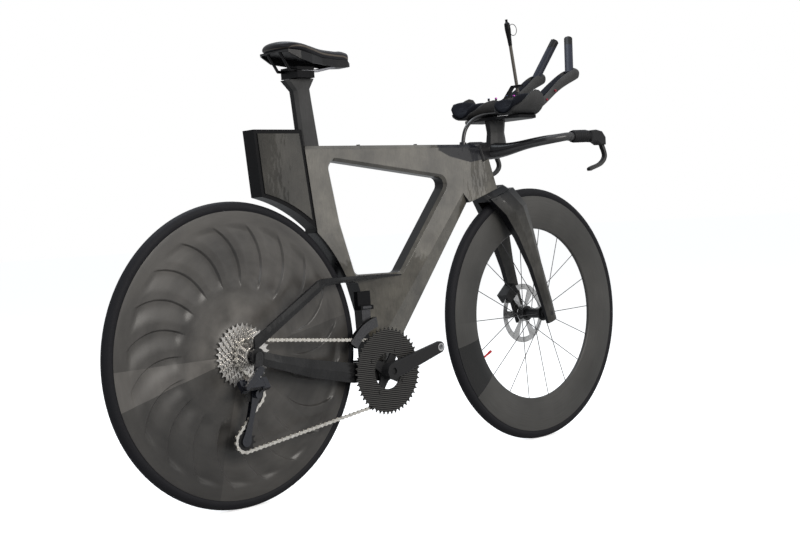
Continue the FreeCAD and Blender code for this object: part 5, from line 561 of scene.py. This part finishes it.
rail_painted = past(rail_metal.node_tree, "Object", "X", RAIL_PAINT_START + 0.008, RAIL_PAINT_START)
paint_over(rail_metal, (0.02, 0.02, 0.021), rail_painted)
print("metal finishes made, painted:", rail_metal.name)

# %% [markdown]
# Two metals have a pattern of their own. The outer chainring is dark and cut by fine slanted tool lines,
# which a wave texture draws at even steps. The cockpit's anodised bolts change colour from back to front,
# and the back ones are black below their heads.

# %% Ring and bolt finishes
TOOL_LINE_SLANT = math.radians(-12)
BOLTS_BACK, BOLTS_FRONT = 0.40, 0.56
BOLT_HEADS_FOOT = 0.9196
machined_ring, tree, shader = new_finish("machined_ring", Metallic=0.3, Specular_IOR_Level=0.15)
waves = add_node(tree, "ShaderNodeTexWave", wave_type="BANDS", bands_direction="Z", Scale=66, Distortion=0.0)
join(tree, (placed(tree, Rotation=(0, TOOL_LINE_SLANT, 0)), waves.inputs["Vector"]))
tool_lines = waves.outputs["Fac"]
join(tree, (tones(tree, tool_lines, (0.30, (0.003, 0.003, 0.004)), (0.62, (0.075, 0.073, 0.070))),
            shader.inputs["Base Color"]),
     (spread(tree, grain(tree, 200), 0.34, 0.5), shader.inputs["Roughness"]))
relief(tree, shader, tool_lines, 0.5, 0.0003)

bolt_colours, tree, shader = new_finish("anodised_bolts", Metallic=0.8, Roughness=0.28)
forward = past(tree, "Object", "X", BOLTS_BACK, BOLTS_FRONT)
join(tree, (tones(tree, forward, (0.12, (0.10, 0.16, 0.46)), (0.2, (0.46, 0.05, 0.38)),
                  (0.6, (0.30, 0.03, 0.05))), shader.inputs["Base Color"]))
shanks = past(tree, "Object", "Z", BOLT_HEADS_FOOT + 0.0004, BOLT_HEADS_FOOT)
paint_over(bolt_colours, (0.01, 0.01, 0.011), product(tree, shanks, past(tree, "Object", "X", 0.45, 0.44)))
print("patterned metals:", machined_ring.name, bolt_colours.name)

# %% [markdown]
# ## Dress the CAD nodes
# A CAD node keeps its mesh and gets a finish in its material slot. The triangles of one CAD face share their
# corners but faces do not, so the shading is already smooth inside a face and crisp between faces.

# %% Give every CAD node its finish
FINISH_OF_NODE = {
    frame_carbon: ["front_triangle"],
    fork_carbon: ["fork"],
    panel_carbon: ["storage_panels"],
    stay_carbon: ["seat_stays", "chain_stays"],
    post_carbon: ["seatpost", "riser_column", "extensions", "arm_cups", "left_brake_lever",
                  "right_brake_lever"],
    bar_gloss: ["base_bar"],
    rim_carbon: ["front_rim"],
    disc_carbon: ["rear_disc"],
    tyre_rubber: ["front_tyre", "rear_tyre"],
    grip_rubber: ["bar_grips"],
    hood_rubber: ["lever_bodies"],
    pad_fabric: ["arm_pads"],
    saddle_skin: ["saddle_cover"],
    shell_gloss: ["saddle_shell"],
    hose_skin: ["drink_hose"],
    straw_plastic: ["drink_straw"],
    post_grip_skin: ["grip_posts"],
    black_plastic: ["storage_box", "saddle_clamp", "riser_bridge", "straw_holder", "bite_valve",
                    "left_shift_button", "right_shift_button", "front_derailleur_body"],
    crank_black: ["right_crank_arm", "left_crank_arm", "front_caliper", "rear_caliper", "guide_pulley",
                  "tension_pulley"],
    derailleur_gloss: ["derailleur_knuckle", "derailleur_link", "derailleur_carrier", "derailleur_cage"],
    bright_steel: ["cassette"],
    cage_steel: ["front_derailleur_cage"],
    chain_steel: ["chain"],
    rotor_steel: ["front_rotor", "rear_rotor"],
    spoke_steel: ["front_spokes"],
    rail_metal: ["saddle_rails"],
    machined_ring: ["chainrings"],
    dark_alloy: ["front_hub", "rear_hub", "front_axle", "rear_axle", "bottom_bracket_cups",
                 "headset_bearings", "frame_screws", "derailleur_hanger"],
    bolt_colours: ["cockpit_bolts"],
    valve_red: ["front_valve"],
}
dressed = 0
for finish, names in FINISH_OF_NODE.items():
    for name in names:
        nodes[name].data.materials.clear()
        nodes[name].data.materials.append(finish)
        dressed += 1
print("dressed nodes:", dressed, "of", len(nodes))

# %% [markdown]
# ## The drinking hose
# A soft black hose leaves the top tube, arches over the stem and meets the straw's foot from below. Its route
# is the CAD route, used here as control points of a smooth spline, and the tube is swept along that spline,
# which keeps its thickness even in the bends. One end stays on the frame while the other turns with the bars,
# but here the tube stays as one fixed piece where the CAD places it.

# %% Bend the hose
HOSE_START = Vector((0.261, 0, 0.801))
HOSE_SPAN = Vector((0.22403, 0, 0.1348))
HOSE_RADIUS = 0.005
HOSE_SHARES = [(0.0, 0.0), (0.018, 0.170), (0.092, 0.341), (0.212, 0.459), (0.359, 0.522), (0.516, 0.544),
               (0.673, 0.556), (0.829, 0.578), (0.949, 0.659), (1.014, 0.815), (1.0, 1.0)]
route = bpy.data.curves.new("hose_route", "CURVE")
route.dimensions = "3D"
route.resolution_u = 8
spline = route.splines.new("NURBS")
spline.points.add(len(HOSE_SHARES) - 1)
for point, (ahead_share, up_share) in zip(spline.points, HOSE_SHARES):
    point.co = (HOSE_START.x + HOSE_SPAN.x * ahead_share, 0, HOSE_START.z + HOSE_SPAN.z * up_share, 1)
spline.order_u = 3
spline.use_endpoint_u = True
route_object = bpy.data.objects.new("hose_route", route)
hose_line = [vertex.co.copy() for vertex in bpy.data.meshes.new_from_object(route_object).vertices]
route.bevel_depth = HOSE_RADIUS
route.bevel_resolution = 5
route.use_fill_caps = True
hose_mesh = bpy.data.meshes.new_from_object(route_object)
bpy.data.objects.remove(route_object)
hose_mesh.materials.clear()
hose_mesh.materials.append(hose_skin)
hose_mesh.shade_smooth()
hose = bpy.data.objects.new("bent_hose", hose_mesh)
scene.collection.objects.link(hose)
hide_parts("drink_hose")
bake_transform(hose)
hose_length = sum((after - before).length for before, after in zip(hose_line, hose_line[1:]))
print("hose points:", len(hose_line), "length:", round(hose_length, 3))

# %% [markdown]
# ## The fluted disc wheel
# The rear wheel is a closed carbon disc. Its middle is a low cone, and twenty curved scoops run from the
# cone's foot to the rim, each with a steep wall on one side. Cutting twenty scoops one by one would be slow,
# so a section is spun through one scoop's share of a turn into a fine net, that sector is repeated round
# the axle, and the net's points are pressed in afterwards.

# %% Spin the disc's net
FLUTE_COUNT = 20
FLUTE_STEP = 360 / FLUTE_COUNT
COLUMNS_IN_FLUTE = 48
RIGHT_FACE = [(0.014, 0.0204), (0.040, 0.0203), (0.060, 0.0199), (0.070, 0.0176), (0.079, 0.0160),
              (0.131, 0.0140), (0.139, 0.0135), (0.150, 0.0134), (0.300, 0.0122), (0.312, 0.0119),
              (0.317, 0.0113)]
LEFT_FACE = [(0.014, 0.0299), (0.040, 0.0298), (0.060, 0.0282), (0.131, 0.0226), (0.150, 0.0215),
             (0.200, 0.0186), (0.240, 0.0163), (0.300, 0.0128), (0.312, 0.0121), (0.317, 0.0113)]
RADII = [0.014, 0.04, 0.06, 0.07, 0.074, 0.079, 0.09, 0.105, 0.12, 0.127, 0.131, 0.135, 0.139, 0.144]
RADII += [0.150 + 0.006 * number for number in range(21)]
RADII += [0.2735, 0.277, 0.2805, 0.284, 0.2875, 0.291, 0.295, 0.3, 0.312, 0.317]


def between(rows, place):
    """Reads a table of (place, value) rows by straight lines."""
    for (first, low_value), (last, high_value) in zip(rows, rows[1:]):
        if place <= last:
            return low_value + (high_value - low_value) * max(place - first, 0) / (last - first)
    return rows[-1][1]


axle = Vector((REAR_AXLE_X, 0, AXLE_HEIGHT))
builder = bmesh.new()
outline = [(radius, -between(RIGHT_FACE, radius)) for radius in RADII]
outline += [(radius, between(LEFT_FACE, radius)) for radius in reversed(RADII)]
corners = [builder.verts.new(axle + Vector((radius, y, 0))) for radius, y in outline]
section = [builder.edges.new(pair) for pair in zip(corners, corners[1:] + corners[:1])]
sector_angle = math.radians(FLUTE_STEP)
bmesh.ops.spin(builder, geom=corners + section, cent=axle, axis=(0, 1, 0), angle=sector_angle,
               steps=COLUMNS_IN_FLUTE)
sector = builder.verts[:] + builder.edges[:] + builder.faces[:]
bmesh.ops.spin(builder, geom=sector, cent=axle, axis=(0, 1, 0), angle=2 * math.pi - sector_angle,
               steps=FLUTE_COUNT - 1, use_duplicate=True)
bmesh.ops.remove_doubles(builder, verts=builder.verts, dist=1e-6)
print("net points:", len(builder.verts))

# %% [markdown]
# Every point is pressed towards the middle plane: steeply just past a flute's line, and less and less until
# the next one. At the same time each ring of the net is turned a little further than the ring inside it, so
# that the net's columns bend like the flutes. Columns that follow the walls keep them crisp with few faces.

# %% Press the flutes
FLUTE_FIRST = 12
FLUTE_DEPTH = 0.0046
FLUTE_WALL, FLUTE_RISE_START, FLUTE_RISE = 1.2, 2.6, 11.5
FLUTE_INNER, FLUTE_INNER_EASE = 0.150, 0.022
FLUTE_OUTER, FLUTE_OUTER_EASE = 0.276, 0.013
BEND_DEGREES, BEND_LENGTH, BEND_POWER = 15, 0.135, 2.2


def eased(value):
    """An S-shaped step from 0 to 1."""
    value = min(max(value, 0), 1)
    return value * value * (3 - 2 * value)


for vertex in builder.verts:
    out = vertex.co - axle
    radius = math.hypot(out.x, out.z)
    angle = math.degrees(math.atan2(out.z, out.x))
    past_line = (angle - FLUTE_FIRST) % FLUTE_STEP
    if past_line > FLUTE_STEP - 0.01:
        past_line = 0
    scoop = eased(past_line / FLUTE_WALL) * (1 - eased((past_line - FLUTE_RISE_START) / FLUTE_RISE))
    reach = eased((radius - FLUTE_INNER) / FLUTE_INNER_EASE)
    reach *= 1 - eased((radius - FLUTE_OUTER) / FLUTE_OUTER_EASE)
    across = out.y - math.copysign(FLUTE_DEPTH * scoop * reach, out.y)
    bend = BEND_DEGREES * max((radius - FLUTE_INNER) / BEND_LENGTH, 0) ** BEND_POWER
    turned = math.radians(angle + bend)
    vertex.co = axle + Vector((radius * math.cos(turned), across, radius * math.sin(turned)))
bmesh.ops.recalc_face_normals(builder, faces=builder.faces)


def keep(name, builder, finish, body, sharp_angle=40):
    """Turns a bmesh into a smooth piece that rides on a body, if one is named."""
    mesh = bpy.data.meshes.new(name)
    builder.to_mesh(mesh)
    builder.free()
    mesh.materials.append(finish)
    mesh.shade_smooth()
    mesh.set_sharp_from_angle(angle=math.radians(sharp_angle))
    piece = bpy.data.objects.new(name, mesh)
    scene.collection.objects.link(piece)
    if body:
        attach(piece, body)
    return piece


disc = keep("fluted_disc", builder, disc_carbon, "rear_wheel")
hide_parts("rear_disc")
print("disc faces:", len(disc.data.polygons))

# %% [markdown]
# ## The saddle cover
# The saddle is a thin padded cover on a shell: broad at the tail, narrow at the nose, with a relief channel
# along the middle and a piped lower edge. It could be sculpted, but a table is easier to correct: a flat grid
# is extruded once into a closed slab with three layers of points, and they are laid over the shell by a few
# rows of widths and heights. Two subdivisions round it off.

# %% Helpers for padded pieces
NO_SHARP_EDGES = 180


def slab(columns, rows):
    """A closed flat slab of one by one, still without thickness, and the points of its upper side."""
    builder = bmesh.new()
    bmesh.ops.create_grid(builder, x_segments=columns, y_segments=rows, size=0.5)
    raised = bmesh.ops.extrude_face_region(builder, geom=builder.faces[:])["geom"]
    return builder, {item for item in raised if isinstance(item, bmesh.types.BMVert)}


def softened(rows, place, reach=0.07):
    """Reads a table as between does, with its corners rounded off."""
    return sum(between(rows, place + reach * part / 4) for part in range(-4, 5)) / 9


def subdivided(piece, levels):
    """Rounds a piece off with a subdivision surface."""
    rounding = piece.modifiers.new("rounding", "SUBSURF")
    rounding.levels = levels
    rounding.render_levels = levels


print("padding helpers ready")

# %% [markdown]
# The upper layer rolls over to the sides and sinks into the channel, the middle layer is the lower edge with
# the piping, and the lower layer is tucked in underneath. Each point also remembers its share along the saddle
# and round its side, and the skin's map is filled from them.

# %% Shape the saddle cover
SADDLE_TAIL = -0.352
SADDLE_LENGTH = 0.228
SADDLE_WIDTHS = [(0.0, 0.041), (0.06, 0.0594), (0.20, 0.066), (0.38, 0.0528), (0.58, 0.031), (0.80, 0.0218),
                 (0.96, 0.0191), (1.0, 0.0145)]
SADDLE_TOPS = [(0.0, 1.0299), (0.06, 1.032), (0.20, 1.0292), (0.38, 1.0243), (0.58, 1.0194), (0.80, 1.018),
               (0.96, 1.018), (1.0, 1.011)]
SIDE_DROP, EDGE_DROP, UNDER_DROP, TAIL_DROP = 0.013, 0.0165, 0.0222, 0.008
CHANNEL_DEPTH, CHANNEL_WIDTH = 0.006, 0.009
TAIL_ROUND, NOSE_ROUND = 0.018, 0.007
UPPER, MIDDLE = 2, 1
builder, top_points = slab(28, 16)
bmesh.ops.translate(builder, vec=(0, 0, 1), verts=list(top_points))
walls = [edge for edge in builder.edges if abs(edge.verts[0].co.z - edge.verts[1].co.z) > 0.5]
bmesh.ops.subdivide_edges(builder, edges=walls, cuts=1)
uv_layer = builder.loops.layers.uv.new("around")
girths = {}
for vertex in builder.verts:
    layer = round(2 * vertex.co.z)
    share = vertex.co.x + 0.5
    side = vertex.co.y * 2
    width = softened(SADDLE_WIDTHS, share)
    top = softened(SADDLE_TOPS, share)
    if layer == UPPER:
        roll = abs(side) * math.pi / 2 * 0.9
        y = width * math.copysign(math.sin(roll) ** 0.9, side)
        channel = CHANNEL_DEPTH * math.exp(-(y / CHANNEL_WIDTH) ** 2)
        channel *= eased((share - 0.12) / 0.12) * (1 - eased((share - 0.78) / 0.1))
        z = top - SIDE_DROP * (1 - math.cos(roll)) - channel - TAIL_DROP * max(1 - share / 0.07, 0) ** 2
        girth = abs(side) * 0.8
    elif layer == MIDDLE:
        y = width * math.copysign(min(abs(side) * 1.01, 1.0), side)
        z = top - EDGE_DROP
        girth = 0.9
    else:
        y = width * side * 0.9
        z = top - UNDER_DROP
        girth = 1.0
    girths[vertex] = (share, girth)
    rounded_end = TAIL_ROUND * max(1 - share / 0.3, 0) - NOSE_ROUND * max(1 - (1 - share) / 0.1, 0)
    vertex.co = (SADDLE_TAIL + (SADDLE_LENGTH * share + side ** 2 * rounded_end), y, z)
for face in builder.faces:
    for loop in face.loops:
        loop[uv_layer].uv = girths[loop.vert]
bmesh.ops.recalc_face_normals(builder, faces=builder.faces)
saddle = keep("saddle_padding", builder, saddle_skin, "saddle", NO_SHARP_EDGES)
subdivided(saddle, 2)
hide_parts("saddle_cover")
print("saddle cover:", [round(side, 3) for side in saddle.dimensions])

# %% [markdown]
# ## The arm pads
# Each forearm rests in a carbon cup lined with a thick foam pad in a knitted cover. The pad starts as a curved
# slab that lies in the cup: its outer side follows the cup, and its inner side stands off by a table of
# thicknesses. Only the left one is built, and the right one is its mirror image.

# %% Build the left pad's slab
CUP_AXIS_Y = 0.076
CUP_AXIS_Z = 0.911
CUP_RADIUS = 0.0415
CUP_GAP = 0.001
PAD_BACK = 0.334
PAD_LENGTH = 0.116
PAD_OUTER_ARC, PAD_INNER_ARC = 112, 96
PAD_SPREADS = [(0.0, 0.60), (0.06, 0.74), (0.14, 0.84), (0.45, 0.92), (0.8, 0.90), (0.94, 0.80), (1.0, 0.70)]
PAD_THICKNESS = [(0.0, 0.010), (0.06, 0.0145), (0.16, 0.0165), (0.45, 0.0155), (0.8, 0.012), (1.0, 0.008)]
builder, inner_points = slab(16, 20)
for vertex in builder.verts:
    share = vertex.co.x + 0.5
    side = vertex.co.y * 2
    arc = PAD_OUTER_ARC if side > 0 else PAD_INNER_ARC
    angle = math.radians(arc * side * between(PAD_SPREADS, share))
    radius = CUP_RADIUS - CUP_GAP
    if vertex in inner_points:
        radius -= between(PAD_THICKNESS, share) * (0.72 + 0.28 * math.cos(side * math.pi / 2))
    vertex.co = (PAD_BACK + PAD_LENGTH * (0.02 + 0.96 * share), CUP_AXIS_Y + radius * math.sin(angle),
                 CUP_AXIS_Z - radius * math.cos(angle))
bmesh.ops.recalc_face_normals(builder, faces=builder.faces)
pad = keep("left_arm_pad", builder, pad_fabric, "", NO_SHARP_EDGES)
print("pad slab:", [round(side, 3) for side in pad.dimensions])

# %% [markdown]
# A filled cover is round where a slab has corners. So the slab is remeshed evenly and blown up a little with
# the cloth solver, which rounds it as real stuffing does. No point may move far, and points that would go
# through the cup are put back on its inner face.

# %% Fill the pad with the cloth solver
PAD_VOXEL = 0.004
PAD_PRESSURE = 4
PAD_MOST_MOVE = 0.004
FILL_STEPS = 20


def replace_mesh(piece):
    """Keeps what the modifiers make as the piece's own mesh."""
    made = bpy.data.meshes.new_from_object(piece.evaluated_get(bpy.context.evaluated_depsgraph_get()))
    piece.modifiers.clear()
    piece.data = made


def fill_cover(piece):
    """Remeshes a slab, blows it up, and moves no point further than a limit."""
    even = piece.modifiers.new("even", "REMESH")
    even.mode = "VOXEL"
    even.voxel_size = PAD_VOXEL
    replace_mesh(piece)
    before = [vertex.co.copy() for vertex in piece.data.vertices]
    cloth = piece.modifiers.new("fill", "CLOTH")
    cloth.settings.use_pressure = True
    cloth.settings.uniform_pressure_force = PAD_PRESSURE
    cloth.settings.effector_weights.gravity = 0
    cloth.point_cache.frame_end = FILL_STEPS
    for step in range(1, FILL_STEPS + 1):
        scene.frame_set(step)
    replace_mesh(piece)
    for vertex, start in zip(piece.data.vertices, before):
        move = vertex.co - start
        vertex.co = start + move * min(1, PAD_MOST_MOVE / max(move.length, 1e-9))
    scene.frame_set(1)


fill_cover(pad)
for vertex in pad.data.vertices:
    out = Vector((0, vertex.co.y - CUP_AXIS_Y, vertex.co.z - CUP_AXIS_Z))
    if out.length > CUP_RADIUS:
        vertex.co += out * (CUP_RADIUS / out.length - 1)
pad.data.shade_smooth()
builder = bmesh.new()
builder.from_mesh(pad.data)
bmesh.ops.scale(builder, vec=(1, -1, 1), verts=builder.verts)
bmesh.ops.reverse_faces(builder, faces=builder.faces)
right_pad = keep("right_arm_pad", builder, pad_fabric, "", NO_SHARP_EDGES)
for piece in (pad, right_pad):
    piece.data.materials.clear()
    piece.data.materials.append(pad_fabric)
    subdivided(piece, 1)
    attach(piece, "steering")
    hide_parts("arm_pads")
print("pad points:", len(pad.data.vertices), "size:", [round(side, 3) for side in pad.dimensions])

# %% [markdown]
# ## The extension linings
# A strip of the same covered foam fills the trough on top of each extension. It is too thin to be worth a
# simulation, so it is shaped from the extension's own rows of places and sections: its underside is the
# trough, and its top swells a little above the edges.

# %% Lay the linings
LINING_ROWS = [  # x, y, z, half width, half height
    (0.4504, 0.0760, 0.8870, 0.0230, 0.0153), (0.4970, 0.0664, 0.9060, 0.0216, 0.0171),
    (0.5456, 0.0568, 0.9316, 0.0200, 0.0189), (0.5985, 0.0581, 0.9630, 0.0180, 0.0207),
]
LINING_WIDTH_SHARE = 0.66
LINING_LEAST = 0.001


def lining_row(share):
    """Place and half section of the extension at a share of the lining's length."""
    place = share * (len(LINING_ROWS) - 1)
    first = min(int(place), len(LINING_ROWS) - 2)
    part = place - first
    return [low + (high - low) * part for low, high in zip(LINING_ROWS[first], LINING_ROWS[first + 1])]


def make_lining(name, way):
    """One lining; way is 1 on the left and -1 on the right."""
    builder, top_points = slab(20, 8)
    for vertex in builder.verts:
        share = min(max(vertex.co.x + 0.5, 0.01), 0.97)
        side = vertex.co.y * 2 * 0.96
        x, y, z, half_width, half_height = lining_row(share)
        across = side * half_width * LINING_WIDTH_SHARE
        height = z + half_height * (0.82 - math.sqrt(1 - side * side))
        if vertex in top_points:
            crown = (0.72 + 0.26 * (1 - side ** 2)) * (1 - 0.25 * abs(2 * share - 1) ** 6)
            height = max(z + half_height * crown, height + LINING_LEAST)
        vertex.co = (x, way * (y + across), height)
    bmesh.ops.recalc_face_normals(builder, faces=builder.faces)
    lining = keep(name, builder, pad_fabric, "steering", NO_SHARP_EDGES)
    subdivided(lining, 2)
    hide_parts("arm_pads")
    return lining


for name, way in (("left_lining", 1), ("right_lining", -1)):
    print(name, [round(side, 3) for side in make_lining(name, way).dimensions])

# %% [markdown]
# ## The ribbed grips
# A rubber sleeve with six round ribs covers each end of the base bar. It is turned like wood on a lathe: one
# profile with rounded ribs is spun about an axis, and the ring is then laid along the bar's end. Bump in the
# finish would be quicker, but would leave the outline smooth.

# %% Turn the grips
BAR_BEND = Vector((0.466, 0.184, 0.800))
BAR_DIRECTION = Vector((0.112, 0.004, 0.002)).normalized()
GRIP_START, GRIP_END = 0.0085, 0.0705
BORE, LIP, SLEEVE, RIB_SIDE, RIB_TOP = 0.0112, 0.0142, 0.0150, 0.0164, 0.0165
RIB_COUNT, RIB_STEP = 6, 0.0085
RIB_ROWS = [(SLEEVE, -0.0026), (RIB_SIDE, -0.0011), (RIB_TOP, 0), (RIB_SIDE, 0.0011), (SLEEVE, 0.0026)]
GRIP_PROFILE = [(BORE, GRIP_START), (LIP, GRIP_START), (SLEEVE, GRIP_START + 0.001)]
for number in range(RIB_COUNT):
    middle = GRIP_START + RIB_STEP * (number + 1)
    GRIP_PROFILE += [(radius, middle + offset) for radius, offset in RIB_ROWS]
GRIP_PROFILE += [(SLEEVE, GRIP_END - 0.001), (LIP, GRIP_END), (BORE, GRIP_END)]


def make_grip(name, way):
    """One grip; way is 1 on the left and -1 on the right."""
    builder = bmesh.new()
    corners = [builder.verts.new((along, 0, radius)) for radius, along in GRIP_PROFILE]
    edges = [builder.edges.new(pair) for pair in zip(corners, corners[1:] + corners[:1])]
    bmesh.ops.spin(builder, geom=corners + edges, cent=(0, 0, 0), axis=(1, 0, 0), angle=2 * math.pi, steps=40,
                   use_merge=True)
    direction = Vector((BAR_DIRECTION.x, way * BAR_DIRECTION.y, BAR_DIRECTION.z))
    turn = Vector((1, 0, 0)).rotation_difference(direction).to_matrix()
    bmesh.ops.rotate(builder, cent=(0, 0, 0), matrix=turn, verts=builder.verts)
    bmesh.ops.translate(builder, vec=(BAR_BEND.x, way * BAR_BEND.y, BAR_BEND.z), verts=builder.verts)
    bmesh.ops.recalc_face_normals(builder, faces=builder.faces)
    grip = keep(name, builder, grip_rubber, "steering", 50)
    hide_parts("bar_grips")
    return grip


for name, way in (("left_ribbed_grip", 1), ("right_ribbed_grip", -1)):
    print(name, len(make_grip(name, way).data.polygons))
